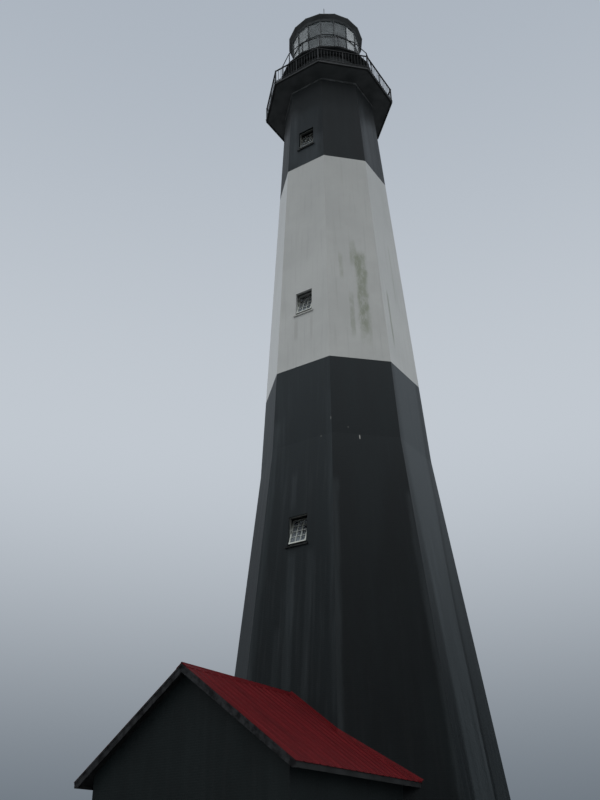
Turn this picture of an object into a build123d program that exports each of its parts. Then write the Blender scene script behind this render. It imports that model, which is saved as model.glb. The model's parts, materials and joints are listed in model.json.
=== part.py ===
"""Eight-sided brick lighthouse with a gabled entrance annex, at half its real size.

The origin is on the tower's axis at ground level. +Z is up. The annex, the entrance door and
one row of windows face -Y. The other row of windows faces +Y. All lengths are millimetres.
"""
import os
from math import asin, cos, pi, radians, sin, tan

from build123d import *

os.makedirs("parts", exist_ok=True)

# Brick shaft: eight sides round a cylindrical well, steeper above the bend
shaft_sides = 8
base_radius = 2840
bend_height = 8500
bend_radius = 1808
top_radius = 1172
shaft_height = 18950
well_radius = 825
lower_band_top = 10300
upper_band_height = 2785
tower_floor_thickness = 75
neck_height = 50
neck_projection = 14

# Windows: one row on the front face and the same row on the back face
window_width = 410
window_height = 575
window_setback = 62
lower_window_centre = 6600
middle_window_centre = 11950
upper_window_drop = 1900
frame_rail = 16
frame_depth = 50
sash_rail = 28
sash_depth = 34
sash_lean = 19
window_glass_thickness = 6
sill_height = 45
sill_projection = 32
sill_slope = 20
sill_ear = 40

# Passage from the annex through the tower wall to the well
passage_width = 460
passage_spring_height = 800

# Main gallery: an eight-sided deck with a railing of eight panels
deck_radius = 1710
deck_thickness = 60
hatch_width = 400
hatch_length = 560
hatch_offset = 440
railing_height = 440
railing_edge_distance = 18
corner_post_size = 34
post_cap_radius = 24
post_cap_tip_radius = 6
post_cap_height = 20
middle_post_size = 24
hand_rail_width = 34
hand_rail_depth = 16
bottom_rail_size = 14
bottom_rail_clearance = 50
baluster_size = 9
baluster_spacing = 80

# Watch room: sixteen iron sides under the lantern
lantern_sides = 16
watch_radius = 1000
watch_wall = 50
watch_height = 1005
watch_door_width = 330
watch_door_height = 860
watch_door_thickness = 24
watch_door_panel = 5
door_panel_margin = 45

# Lantern gallery: the upper deck and its plain ring rail
lantern_deck_radius = 1265
lantern_deck_thickness = 40
lantern_hatch_width = 340
lantern_hatch_length = 460
lantern_hatch_offset = -360
ring_rail_height = 380
ring_rail_edge_distance = 16
ring_rail_size = 18
ring_post_size = 20

# Lantern: sixteen glazed sides in two tiers
sill_ring_radius = 940
sill_ring_wall = 60
sill_ring_height = 195
glass_radius = 915
glass_thickness = 8
mullion_width = 22
mullion_depth = 48
lower_pane_height = 652
upper_pane_height = 522
glazing_bar_height = 20
head_ring_radius = 945
head_ring_wall = 70
head_ring_height = 65

# Lantern roof: a flared cornice, a thin edge, a low sixteen-sided cone, ball and rod
eave_radius = 1036
cornice_height = 80
eave_edge_height = 28
roof_rise = 480
roof_top_radius = 110
roof_wall = 16
ventilator_neck_radius = 78
ventilator_neck_height = 90
ventilator_base_height = 24
ventilator_ball_radius = 148
ventilator_ball_rings = 8
rod_socket_radius = 20
rod_socket_height = 35
rod_radius = 9
rod_length = 620
rod_tip_length = 60
rod_tip_radius = 1

# Entrance annex: a gabled room whose ridge meets the tower's front face
ridge_height = 3650
roof_pitch = 36.87
eave_half_width = 1905
verge_distance = 4968
front_wall_distance = 4790
annex_wall_half_width = 1700
annex_wall = 180
annex_roof_thickness = 50
annex_floor_thickness = 75
barge_board_depth = 100
fascia_depth = 84
board_thickness = 20
ridge_cap_width = 75
ridge_cap_thickness = 7

# Entrance door in the gable wall
door_width = 480
door_height = 1030
door_thickness = 26
door_panel_depth = 5
door_frame_width = 40
door_frame_depth = 70
door_setback = 60

# How far a cutting shape passes the face that it cuts
cut_past = 1


standing = (Align.CENTER, Align.CENTER, Align.MIN)


def polygon_frustum(sides, low_radius, low_height, high_radius, high_height):
    """Upright solid between two level polygons, each given by its corner radius and height."""
    turn = 180 / sides if sides == shaft_sides else 0
    angles = [radians(turn + 360 * corner / sides) for corner in range(sides)]
    low = [Vector(low_radius * cos(a), low_radius * sin(a), low_height) for a in angles]
    high = [Vector(high_radius * cos(a), high_radius * sin(a), high_height) for a in angles]
    outlines = [low, high]
    for corner in range(sides):
        after = (corner + 1) % sides
        outlines.append([low[corner], low[after], high[after], high[corner]])
    faces = [Face(Wire.make_polygon(outline)) for outline in outlines]
    return Solid(Shell(faces))


def polygon_prism(sides, radius, low_height, high_height):
    """Upright prism on a polygon with the given corner radius."""
    return polygon_frustum(sides, radius, low_height, radius, high_height)


def polygon_ring(sides, outer_radius, wall, low_height, high_height):
    """Upright polygonal tube whose wall is measured square to its sides."""
    inner_radius = outer_radius - wall / cos(radians(180 / sides))
    outer = polygon_prism(sides, outer_radius, low_height, high_height)
    return outer - polygon_prism(sides, inner_radius, low_height - cut_past, high_height + cut_past)


def block(low, high):
    """Box between two corners."""
    size = [high[axis] - low[axis] for axis in range(3)]
    middle = [(high[axis] + low[axis]) / 2 for axis in range(3)]
    return Pos(*middle) * Box(*size)


def along_y(outline, start, end):
    """Prism along Y from an outline of (x, z) points."""
    profile = Face(Wire.make_polygon([Vector(x, start, z) for x, z in outline]))
    return extrude(profile, amount=end - start, dir=(0, 1, 0))


def shaft_radius(height):
    """Corner radius of the shaft at a height."""
    if height < bend_height:
        return base_radius + (bend_radius - base_radius) * height / bend_height
    share = (height - bend_height) / (shaft_height - bend_height)
    return bend_radius + (top_radius - bend_radius) * share


def face_distance(corner_radius, sides=shaft_sides):
    """Distance from the axis to a side, for a polygon with this corner radius."""
    return corner_radius * cos(radians(180 / sides))


# Levels that stack on one another
deck_low = shaft_height + neck_height
deck_high = deck_low + deck_thickness
lantern_deck_low = deck_high + watch_height
lantern_deck_high = lantern_deck_low + lantern_deck_thickness
glass_low = lantern_deck_high + sill_ring_height
glazing_bar_low = glass_low + lower_pane_height
glazing_bar_high = glazing_bar_low + glazing_bar_height
glass_high = glazing_bar_high + upper_pane_height
head_high = glass_high + head_ring_height
cornice_high = head_high + cornice_height
eave_high = cornice_high + eave_edge_height
roof_high = eave_high + roof_rise
window_centres = {
    "lower": lower_window_centre,
    "middle": middle_window_centre,
    "upper": shaft_height - upper_window_drop,
}
back_turn = Rot(0, 0, 180)


# Brick shaft
def solid_shaft():
    """The shaft's outside, with no hollow."""
    lower = polygon_frustum(shaft_sides, base_radius, 0, bend_radius, bend_height)
    upper = polygon_frustum(shaft_sides, bend_radius, bend_height, top_radius, shaft_height)
    return lower + upper


def window_front(centre):
    """Y of the outside of a front window's fixed frame."""
    return -face_distance(shaft_radius(centre)) + window_setback


def window_hole(centre):
    """Straight hole for a front window and its sill, from outside the wall into the well."""
    low = centre - window_height / 2
    high = centre + window_height / 2
    outside = -base_radius
    hole = block((-window_width / 2, outside, low), (window_width / 2, 0, high))
    half_sill = window_width / 2 + sill_ear
    sill_low = (-half_sill, outside, low - sill_height)
    return hole + block(sill_low, (half_sill, window_front(centre), low))


def passage_hole():
    """Round-headed passage from the front face into the well."""
    half = passage_width / 2
    foot = block(
        (-half, -base_radius, tower_floor_thickness), (half, 0, passage_spring_height)
    )
    head = Cylinder(half, base_radius, rotation=(90, 0, 0), align=standing)
    return foot + Pos(0, 0, passage_spring_height) * head


outer_shaft = solid_shaft()
hollow_shaft = outer_shaft - Pos(0, 0, -cut_past) * Cylinder(
    well_radius, shaft_height + 2 * cut_past, align=standing
)
hollow_shaft -= passage_hole()
for centre in window_centres.values():
    hollow_shaft -= window_hole(centre)
    hollow_shaft -= back_turn * window_hole(centre)


def shaft_band(low, high):
    """The part of the brick shaft between two levels."""
    return hollow_shaft & block((-base_radius, -base_radius, low), (base_radius, base_radius, high))


upper_band_low = shaft_height - upper_band_height
tower_lower_wall = shaft_band(0, lower_band_top)
tower_middle_wall = shaft_band(lower_band_top, upper_band_low)
tower_upper_wall = shaft_band(upper_band_low, shaft_height)
tower_floor = Cylinder(
    well_radius, tower_floor_thickness, align=standing
)
neck_course = polygon_prism(shaft_sides, top_radius + neck_projection, shaft_height, deck_low)
neck_course -= Pos(0, 0, shaft_height - cut_past) * Cylinder(
    well_radius, neck_height + 2 * cut_past, align=standing
)


# Windows: a fixed frame near the outside, and a sash that turns on two pivots at its mid-height
def open_frame(half_width, low, high, front, depth, rail):
    """Rectangular frame that faces -Y, with rails of one width all round."""
    whole = block((-half_width, front, low), (half_width, front + depth, high))
    light = half_width - rail
    return whole - block(
        (-light, front - cut_past, low + rail), (light, front + depth + cut_past, high - rail)
    )


def window_frame(centre):
    """Fixed frame of a front window, which fills its hole."""
    half_height = window_height / 2
    return open_frame(
        window_width / 2, centre - half_height, centre + half_height,
        window_front(centre), frame_depth, frame_rail,
    )


sash_half_width = window_width / 2 - frame_rail
sash_length = window_height - 2 * frame_rail
closed_sash = open_frame(
    sash_half_width, -sash_length / 2, sash_length / 2, -sash_depth / 2, sash_depth, sash_rail
)
pane_half_width = sash_half_width - sash_rail
pane_half_height = sash_length / 2 - sash_rail
closed_pane = block(
    (-pane_half_width, -window_glass_thickness / 2, -pane_half_height),
    (pane_half_width, window_glass_thickness / 2, pane_half_height),
)


def tilted_open(piece, centre):
    """Turns a piece of the closed sash on its pivots in the frame, foot out and head in."""
    pivots = Pos(0, window_front(centre) + frame_depth / 2, centre)
    return pivots * Rot(-sash_lean, 0, 0) * piece


def window_sill(centre):
    """Front sill: a stone under the sash with ears each side, whose top falls outwards to shed water."""
    high = centre - window_height / 2
    low = high - sill_height
    front = -face_distance(shaft_radius(low)) - sill_projection
    back = window_front(centre)
    half_width = window_width / 2 + sill_ear
    outline = [(back, low), (back, high), (front, high - sill_slope), (front, low)]
    profile = Face(Wire.make_polygon([Vector(-half_width, y, z) for y, z in outline]))
    return extrude(profile, amount=2 * half_width, dir=(1, 0, 0))


sashes = {}
frames = []
panes = []
sills = []
for side, turn in {"front": Rot(0, 0, 0), "back": back_turn}.items():
    for name, centre in window_centres.items():
        sashes[f"{side}_{name}_sash"] = turn * tilted_open(closed_sash, centre)
        frames.append(turn * window_frame(centre))
        panes.append(turn * tilted_open(closed_pane, centre))
        sills.append(turn * window_sill(centre))
window_frames = Compound(children=frames)
window_glass = Compound(children=panes)
window_sills = Compound(children=sills)


# Main gallery
def hatch(width, length, offset, low, high):
    """Rectangular hole for a ladder, centred on the Y axis."""
    return block(
        (-width / 2, offset - length / 2, low - cut_past),
        (width / 2, offset + length / 2, high + cut_past),
    )


gallery_deck = polygon_prism(shaft_sides, deck_radius, deck_low, deck_high)
gallery_deck -= hatch(hatch_width, hatch_length, hatch_offset, deck_low, deck_high)

railing_line = face_distance(deck_radius) - railing_edge_distance
railing_half_length = railing_line * tan(radians(180 / shaft_sides))
rail_high = deck_high + railing_height


def railing_panel():
    """One panel on the front side: two rails, a middle post and its balusters."""
    rail_half = railing_half_length - corner_post_size / 2
    hand_low = rail_high - hand_rail_depth
    bottom_low = deck_high + bottom_rail_clearance
    bottom_high = bottom_low + bottom_rail_size

    def bar(x, y_half, x_half, low, high):
        return block((x - x_half, -railing_line - y_half, low), (x + x_half, -railing_line + y_half, high))

    panel = bar(0, hand_rail_width / 2, rail_half, hand_low, rail_high)
    panel += bar(0, bottom_rail_size / 2, rail_half, bottom_low, bottom_high)
    panel += bar(0, middle_post_size / 2, middle_post_size / 2, deck_high, hand_low)
    count = int((rail_half - baluster_spacing / 2) / baluster_spacing)
    for step in range(1, count + 1):
        for side in (-1, 1):
            place = side * step * baluster_spacing
            panel += bar(place, baluster_size / 2, baluster_size / 2, bottom_high, hand_low)
    return panel


def corner_post():
    """Eight-sided post on the corner right of the front panel, with a low pointed cap.

    Two of its faces stand square to the ends of the rails on both sides.
    """
    half_side = 180 / shaft_sides
    post_radius = corner_post_size / 2 / cos(radians(half_side))
    height = rail_high - deck_high
    post = polygon_prism(shaft_sides, post_radius, 0, height)
    post += polygon_frustum(
        shaft_sides, post_cap_radius, height, post_cap_tip_radius, height + post_cap_height
    )
    corner_distance = railing_line / cos(radians(half_side))
    place = Rot(0, 0, half_side - 90) * Pos(corner_distance, 0, deck_high)
    return place * Rot(0, 0, half_side) * post


front_panel = railing_panel()
railings = {
    f"gallery_railing_{side + 1}": Rot(0, 0, side * 360 / shaft_sides) * front_panel
    for side in range(shaft_sides)
}
right_post = corner_post()
gallery_posts = Compound(
    children=[Rot(0, 0, side * 360 / shaft_sides) * right_post for side in range(shaft_sides)]
)

# Watch room, with its door on the back, hidden side
half_side_angle = 180 / lantern_sides
door_side_turn = Rot(0, 0, 90 + half_side_angle)
watch_face = face_distance(watch_radius, lantern_sides)


def watch_door_hole():
    """The doorway, cut square through one side of the watch room."""
    return door_side_turn * block(
        (watch_face - watch_wall - cut_past, -watch_door_width / 2, deck_high),
        (watch_face + cut_past, watch_door_width / 2, deck_high + watch_door_height),
    )


watch_room_wall = polygon_ring(lantern_sides, watch_radius, watch_wall, deck_high, lantern_deck_low)
watch_room_wall -= watch_door_hole()


def panelled_door(width, height, thickness, panel_depth):
    """Door leaf with its back foot on the X axis: two sunk panels on the outside (+X) face."""
    leaf = block((0, -width / 2, 0), (thickness, width / 2, height))
    panel_half = width / 2 - door_panel_margin
    panel_high = (height - 3 * door_panel_margin) / 2
    for low in (door_panel_margin, 2 * door_panel_margin + panel_high):
        leaf -= block(
            (thickness - panel_depth, -panel_half, low),
            (thickness + cut_past, panel_half, low + panel_high),
        )
    return leaf


watch_leaf_place = Pos(watch_face - watch_wall / 2 - watch_door_thickness / 2, 0, deck_high)
watch_room_door = door_side_turn * watch_leaf_place * panelled_door(
    watch_door_width, watch_door_height, watch_door_thickness, watch_door_panel
)

# Lantern gallery
lantern_deck = polygon_prism(lantern_sides, lantern_deck_radius, lantern_deck_low, lantern_deck_high)
lantern_deck -= hatch(
    lantern_hatch_width, lantern_hatch_length, lantern_hatch_offset, lantern_deck_low, lantern_deck_high
)


def lantern_ring_rail():
    """Ring rail on one post at each corner of the upper deck."""
    ring_high = lantern_deck_high + ring_rail_height
    ring_radius = lantern_deck_radius - ring_rail_edge_distance + ring_rail_size / 2
    rail = polygon_ring(
        lantern_sides, ring_radius, ring_rail_size, ring_high - ring_rail_size, ring_high
    )
    post_radius = lantern_deck_radius - ring_rail_edge_distance
    post_top = ring_high - ring_rail_size / 2
    half = ring_post_size / 2
    post = block((post_radius - half, -half, lantern_deck_high), (post_radius + half, half, post_top))
    for corner in range(lantern_sides):
        rail += Rot(0, 0, corner * 360 / lantern_sides) * post
    return rail


lantern_railing = lantern_ring_rail()

# Lantern glazing
lantern_sill = polygon_ring(
    lantern_sides, sill_ring_radius, sill_ring_wall, lantern_deck_high, glass_low
)


def mullions(low, high):
    """The sixteen upright bars between two levels."""
    bar = block(
        (glass_radius - mullion_depth / 2, -mullion_width / 2, low),
        (glass_radius + mullion_depth / 2, mullion_width / 2, high),
    )
    return [Rot(0, 0, corner * 360 / lantern_sides) * bar for corner in range(lantern_sides)]


def glass_tier(low, high):
    """Sixteen flat panes between the upright bars."""
    sheet = polygon_ring(
        lantern_sides, glass_radius + glass_thickness / 2, glass_thickness, low, high
    )
    for bar in mullions(low - cut_past, high + cut_past):
        sheet -= bar
    return sheet


head_ring = polygon_ring(lantern_sides, head_ring_radius, head_ring_wall, glass_high, head_high)
glazing_bar_radius = glass_radius + mullion_depth / 2
glazing_ring = polygon_ring(
    lantern_sides, glazing_bar_radius, mullion_depth, glazing_bar_low, glazing_bar_high
)
lantern_frame = head_ring + glazing_ring
for bar in mullions(glass_low, glass_high):
    lantern_frame += bar
lantern_lower_glass = glass_tier(glass_low, glazing_bar_low)
lantern_upper_glass = glass_tier(glazing_bar_high, glass_high)


# Lantern roof
def roof_shell():
    """Cornice, eave edge and low cone, hollow over the lantern room."""
    cornice = polygon_frustum(lantern_sides, head_ring_radius, head_high, eave_radius, cornice_high)
    edge = polygon_prism(lantern_sides, eave_radius, cornice_high, eave_high)
    cone = polygon_frustum(lantern_sides, eave_radius, eave_high, roof_top_radius, roof_high)
    inner_radius = head_ring_radius - head_ring_wall
    throat = polygon_prism(lantern_sides, inner_radius, head_high - cut_past, eave_high)
    slope = (eave_radius - roof_top_radius) / roof_rise
    inner_rise = (inner_radius - roof_top_radius) / slope
    lift = (eave_radius - inner_radius) / slope - roof_wall
    inner_cone = polygon_frustum(
        lantern_sides, inner_radius, eave_high + lift, roof_top_radius, eave_high + lift + inner_rise
    )
    middle = polygon_prism(lantern_sides, inner_radius, eave_high, eave_high + lift)
    return cornice + edge + cone - throat - middle - inner_cone


def ventilator():
    """Flared base, neck and sheet-iron ball on top of the roof, made in sixteen gores."""
    base_high = roof_high + ventilator_base_height
    neck_high = base_high + ventilator_neck_height
    shape = polygon_frustum(
        lantern_sides, roof_top_radius, roof_high, ventilator_neck_radius, base_high
    )
    shape += polygon_prism(lantern_sides, ventilator_neck_radius, base_high, neck_high)
    lowest = asin(ventilator_neck_radius / ventilator_ball_radius)
    highest = pi - asin(rod_socket_radius / ventilator_ball_radius)
    step = (highest - lowest) / ventilator_ball_rings
    ball_centre = neck_high + ventilator_ball_radius * cos(lowest)
    rings = [
        (ventilator_ball_radius * sin(turn), ball_centre - ventilator_ball_radius * cos(turn))
        for turn in (lowest + step * ring for ring in range(ventilator_ball_rings + 1))
    ]
    for (low_radius, low), (high_radius, high) in zip(rings, rings[1:]):
        shape += polygon_frustum(lantern_sides, low_radius, low, high_radius, high)
    return shape


lantern_roof = roof_shell()
ventilator_ball = ventilator()
ball_top = ventilator_ball.bounding_box().max.Z
rod_low = ball_top + rod_socket_height
rod_high = rod_low + rod_length
lightning_rod = polygon_prism(lantern_sides, rod_socket_radius, ball_top, rod_low)
lightning_rod += polygon_prism(shaft_sides, rod_radius, rod_low, rod_high)
lightning_rod += polygon_frustum(
    shaft_sides, rod_radius, rod_high, rod_tip_radius, rod_high + rod_tip_length
)

# Entrance annex
fall = tan(radians(roof_pitch))
roof_drop = annex_roof_thickness / cos(radians(roof_pitch))
roof_edge = eave_half_width - board_thickness


def roof_top(x):
    """Height of the roof's top surface at a distance from the ridge."""
    return ridge_height - abs(x) * fall


def roof_slope(side):
    """One roof slope from ridge to eave, cut where it meets the tower."""
    edge = side * roof_edge
    outline = [
        (0, ridge_height),
        (edge, roof_top(edge)),
        (edge, roof_top(edge) - roof_drop),
        (0, ridge_height - roof_drop),
    ]
    return along_y(outline, -verge_distance + board_thickness, 0) - outer_shaft


def space_under_roof():
    """Everything below the underside of the two slopes."""
    far = eave_half_width
    outline = [
        (-far, 0),
        (far, 0),
        (far, roof_top(far) - roof_drop),
        (0, ridge_height - roof_drop),
        (-far, roof_top(far) - roof_drop),
    ]
    return along_y(outline, -verge_distance, 0)


def annex_wall_block(low_x, high_x, front, back):
    """A wall up to the roof's underside and back to the tower's battered faces."""
    wall = block((low_x, front, 0), (high_x, back, ridge_height))
    return (wall & space_under_roof()) - outer_shaft


wall_inside = annex_wall_half_width - annex_wall
front_inside = -front_wall_distance + annex_wall
annex_left_wall = annex_wall_block(-annex_wall_half_width, -wall_inside, front_inside, 0)
annex_right_wall = annex_wall_block(wall_inside, annex_wall_half_width, front_inside, 0)
annex_front_wall = annex_wall_block(
    -annex_wall_half_width, annex_wall_half_width, -front_wall_distance, front_inside
)
annex_floor = block(
    (-wall_inside, front_inside, 0), (wall_inside, 0, annex_floor_thickness)
) - outer_shaft

doorway_half = door_width / 2 + door_frame_width
doorway_high = annex_floor_thickness + door_height + door_frame_width
annex_front_wall -= block(
    (-doorway_half, -front_wall_distance - cut_past, annex_floor_thickness),
    (doorway_half, front_inside + cut_past, doorway_high),
)
door_front = -front_wall_distance + door_setback
door_frame = block(
    (-doorway_half, door_front, annex_floor_thickness),
    (doorway_half, door_front + door_frame_depth, doorway_high),
) - block(
    (-door_width / 2, door_front - cut_past, annex_floor_thickness - cut_past),
    (door_width / 2, door_front + door_frame_depth + cut_past, annex_floor_thickness + door_height),
)
leaf_back = door_front + (door_frame_depth + door_thickness) / 2
entrance_door = Pos(0, leaf_back, annex_floor_thickness) * Rot(0, 0, -90) * panelled_door(
    door_width, door_height, door_thickness, door_panel_depth
)

annex_left_roof = roof_slope(-1)
annex_right_roof = roof_slope(1)


def barge_boards():
    """The two raking boards on the front verge, joined at the ridge."""
    drop = barge_board_depth / cos(radians(roof_pitch))
    outline = [
        (0, ridge_height),
        (eave_half_width, roof_top(eave_half_width)),
        (eave_half_width, roof_top(eave_half_width) - drop),
        (0, ridge_height - drop),
        (-eave_half_width, roof_top(eave_half_width) - drop),
        (-eave_half_width, roof_top(eave_half_width)),
    ]
    return along_y(outline, -verge_distance, -verge_distance + board_thickness)


def eave_fascia(side):
    """Upright board on one eave, from the verge to the tower."""
    inner = side * roof_edge
    outer = side * eave_half_width
    foot = roof_top(outer) - fascia_depth
    outline = [(inner, roof_top(inner)), (outer, roof_top(outer)), (outer, foot), (inner, foot)]
    return along_y(outline, -verge_distance + board_thickness, 0) - outer_shaft


def ridge_cap():
    """Folded strip over the ridge, from the verge to the tower."""
    lift = ridge_cap_thickness / cos(radians(roof_pitch))
    outline = [
        (0, ridge_height + lift),
        (ridge_cap_width, roof_top(ridge_cap_width) + lift),
        (ridge_cap_width, roof_top(ridge_cap_width)),
        (0, ridge_height),
        (-ridge_cap_width, roof_top(ridge_cap_width)),
        (-ridge_cap_width, roof_top(ridge_cap_width) + lift),
    ]
    return along_y(outline, -verge_distance, 0) - outer_shaft


nodes = {
    "tower_lower_wall": tower_lower_wall,
    "tower_middle_wall": tower_middle_wall,
    "tower_upper_wall": tower_upper_wall,
    "tower_floor": tower_floor,
    "neck_course": neck_course,
    **sashes,
    "window_frames": window_frames,
    "window_glass": window_glass,
    "window_sills": window_sills,
    "gallery_deck": gallery_deck,
    **railings,
    "gallery_posts": gallery_posts,
    "watch_room_wall": watch_room_wall,
    "watch_room_door": watch_room_door,
    "lantern_deck": lantern_deck,
    "lantern_railing": lantern_railing,
    "lantern_sill": lantern_sill,
    "lantern_frame": lantern_frame,
    "lantern_lower_glass": lantern_lower_glass,
    "lantern_upper_glass": lantern_upper_glass,
    "lantern_roof": lantern_roof,
    "ventilator_ball": ventilator_ball,
    "lightning_rod": lightning_rod,
    "annex_front_wall": annex_front_wall,
    "annex_left_wall": annex_left_wall,
    "annex_right_wall": annex_right_wall,
    "annex_floor": annex_floor,
    "annex_left_roof": annex_left_roof,
    "annex_right_roof": annex_right_roof,
    "annex_ridge_cap": ridge_cap(),
    "annex_barge_boards": barge_boards(),
    "annex_left_fascia": eave_fascia(-1),
    "annex_right_fascia": eave_fascia(1),
    "entrance_door_frame": door_frame,
    "entrance_door": entrance_door,
}
for name, shape in nodes.items():
    export_step(shape, f"parts/{name}.step")
print(f"{len(nodes)} pieces written")
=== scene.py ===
# %% [markdown]
# Lighthouse at half size. An eight-sided brick shaft in black and white bands stands on the ground, with
# a red-roofed entrance annex at its foot, and an iron gallery, a watch room and a glazed lantern on top.
# The frame of plain solids is loaded first and never moved. Everything below gives those solids their
# finish, or adds the small pieces that are bolted, nailed or folded onto them. Lengths are metres.

# %% Load the frame of solids
import json
from functools import partial
from math import asin, cos, pi, radians, sin, tan

import bmesh
import bpy
from mathutils import Matrix, Vector


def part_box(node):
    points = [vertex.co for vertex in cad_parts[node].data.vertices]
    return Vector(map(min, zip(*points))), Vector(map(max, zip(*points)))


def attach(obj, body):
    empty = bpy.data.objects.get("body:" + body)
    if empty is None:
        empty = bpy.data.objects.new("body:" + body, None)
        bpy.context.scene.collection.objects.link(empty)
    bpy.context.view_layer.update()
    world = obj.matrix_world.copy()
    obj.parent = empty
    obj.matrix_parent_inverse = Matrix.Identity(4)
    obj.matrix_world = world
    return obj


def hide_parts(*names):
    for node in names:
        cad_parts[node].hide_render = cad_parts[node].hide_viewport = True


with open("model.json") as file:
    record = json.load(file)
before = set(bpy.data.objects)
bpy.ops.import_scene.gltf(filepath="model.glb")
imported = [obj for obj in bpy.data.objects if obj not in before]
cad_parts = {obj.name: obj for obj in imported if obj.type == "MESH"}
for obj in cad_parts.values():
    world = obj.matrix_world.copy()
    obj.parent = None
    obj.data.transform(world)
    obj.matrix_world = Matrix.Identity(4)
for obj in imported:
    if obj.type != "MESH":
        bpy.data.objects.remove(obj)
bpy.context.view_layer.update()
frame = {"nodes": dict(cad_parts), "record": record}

solids = frame["nodes"]

# %% [markdown]
# The pieces are placed from the same sizes as the solids. The shaft is two eight-sided frustums, one on
# the other, so its corner radius at any height follows from a few numbers. The paint changes at two
# heights, and each of the three bands has a window at the front and one at the back.

# %% Sizes of the shaft
base_radius = 2.840
bend_height = 8.500
bend_radius = 1.808
top_radius = 1.172
shaft_height = 18.950
lower_band_top = 10.300
upper_band_low = 16.165
window_centres = {"lower": 6.6, "middle": 11.95, "upper": 17.05}


def shaft_radius(height):
    """Corner radius of the brick shaft, from the sizes of its two frustums."""
    if height < bend_height:
        return base_radius + (bend_radius - base_radius) * height / bend_height
    return bend_radius + (top_radius - bend_radius) * (height - bend_height) / (shaft_height - bend_height)


for level, centre in window_centres.items():
    print(f"{level} window at {centre} m, where the shaft's corner radius is {shaft_radius(centre):.3f} m")

# %% [markdown]
# The picture was taken from the ground, near the annex, looking steeply up. A camera is a lens at a
# place with a direction, so its place, pitch, turn and slight roll are written as plain numbers, and
# its matrix is built from them. An empty to aim at would do as well, but it can't hold the roll.

# %% Camera at the foot of the tower
image_width = 600
image_height = 800
focal_pixels = 880.6
sensor_side = 36.0
camera_place = Vector((8.297, -14.765, 0.824))
camera_pitch = 0.5065
camera_turn = -0.5659
camera_roll = -0.0193

looking = Vector((
    sin(camera_turn) * cos(camera_pitch), cos(camera_turn) * cos(camera_pitch), sin(camera_pitch),
))
level_right = Vector((cos(camera_turn), -sin(camera_turn), 0))
level_up = level_right.cross(looking)
camera_right = level_right * cos(camera_roll) + level_up * sin(camera_roll)
camera_up = level_up * cos(camera_roll) - level_right * sin(camera_roll)

lens = bpy.data.cameras.new("camera")
lens.sensor_width = sensor_side
lens.lens = focal_pixels * sensor_side / max(image_width, image_height)
lens.clip_end = 500
camera = bpy.data.objects.new("camera", lens)
axes = Matrix((camera_right, camera_up, -looking)).transposed().to_4x4()
camera.matrix_world = Matrix.Translation(camera_place) @ axes
bpy.context.scene.collection.objects.link(camera)
bpy.context.scene.camera = camera
print(f"lens {lens.lens:.2f} mm")

# %% [markdown]
# A material is a small graph of nodes. Written in full, each node takes several lines, so one helper
# adds a node, sets its choices and fills its inputs, with a number or with another node's output.
# An output knows the graph that it is in, so only the first nodes of a graph are told which it is.
# Colours are written as a screen shows them, because that is how they are read off a picture, and
# another helper turns them into the numbers that a shader works in.

# %% Colours and nodes
def colour(red, green, blue):
    """A colour as a screen shows it, 0 to 255, as the numbers that a shader works in."""
    linear = [
        part / 12.92 if part <= 0.04045 else ((part + 0.055) / 1.055) ** 2.4
        for part in (red / 255, green / 255, blue / 255)
    ]
    return (*linear, 1.0)


def add(kind, inputs, tree=None, **settings):
    """Adds a shader node. An input is a number, or the output of another node."""
    if tree is None:
        tree = next(value.id_data for value in inputs.values() if isinstance(value, bpy.types.NodeSocket))
    made = tree.nodes.new("ShaderNode" + kind)
    for name, value in settings.items():
        setattr(made, name, value)
    for name, value in inputs.items():
        if isinstance(value, bpy.types.NodeSocket):
            tree.links.new(value, made.inputs[name])
        else:
            made.inputs[name].default_value = value
    return made.outputs


print("mid grey in a shader is", round(colour(128, 128, 128)[0], 3))

# %% [markdown]
# Every finish here is built from the same few steps: take a coordinate, turn it into a pattern, and
# use the pattern to mix two colours or to set the gloss. A step that comes back often gets a name, so
# that a finish reads like a recipe. ease is the most useful of them: it turns any number into a soft
# change from one value to another.

# %% Steps of a finish
def calc(operation, *values):
    """One sum on numbers."""
    return add("Math", dict(enumerate(values)), operation=operation)[0]


plus = partial(calc, "ADD")
minus = partial(calc, "SUBTRACT")
times = partial(calc, "MULTIPLY")


def mix(share, first, second):
    """Goes from the first colour to the second as the share goes from 0 to 1."""
    return add("Mix", {0: share, 6: first, 7: second}, data_type="RGBA")[2]


def ease(value, low, high, to_low=0.0, to_high=1.0):
    """Goes smoothly from one number to another while a value goes from low to high."""
    inputs = {0: value, 1: low, 2: high, 3: to_low, 4: to_high}
    return add("MapRange", inputs, interpolation_type="SMOOTHSTEP")[0]


def noise(vector, scale, detail=3.0, roughness=0.55):
    """Cloudy noise from 0 to 1 at a number of patches a metre."""
    inputs = {"Vector": vector, "Scale": scale, "Detail": detail, "Roughness": roughness}
    return add("TexNoise", inputs)[0]


def bump(height, depth):
    """Relief of a real depth in metres from a height of 0 to 1."""
    return add("Bump", {"Height": height, "Distance": depth, "Strength": 1.0})[0]


def total(parts):
    """The sum of several patterns, each with its strength."""
    whole = None
    for part, strength in parts:
        weighed = times(part, strength)
        whole = weighed if whole is None else plus(whole, weighed)
    return whole


print("a finish can sum, mix, ease, add noise and make relief")

# %% [markdown]
# A new material comes with one shader. What is the same all over the surface, such as how strongly it
# mirrors, is set on the shader itself. What varies is wired to it from a pattern.

# %% Materials
def new_material(name, roughness, metallic=0.0, specular=0.5):
    """A material, and the shader that its patterns are wired to."""
    material = bpy.data.materials.new(name)
    material.use_nodes = True
    shader = material.node_tree.nodes["Principled BSDF"]
    shader.inputs["Roughness"].default_value = roughness
    shader.inputs["Metallic"].default_value = metallic
    shader.inputs["Specular IOR Level"].default_value = specular
    return material, shader


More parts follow.
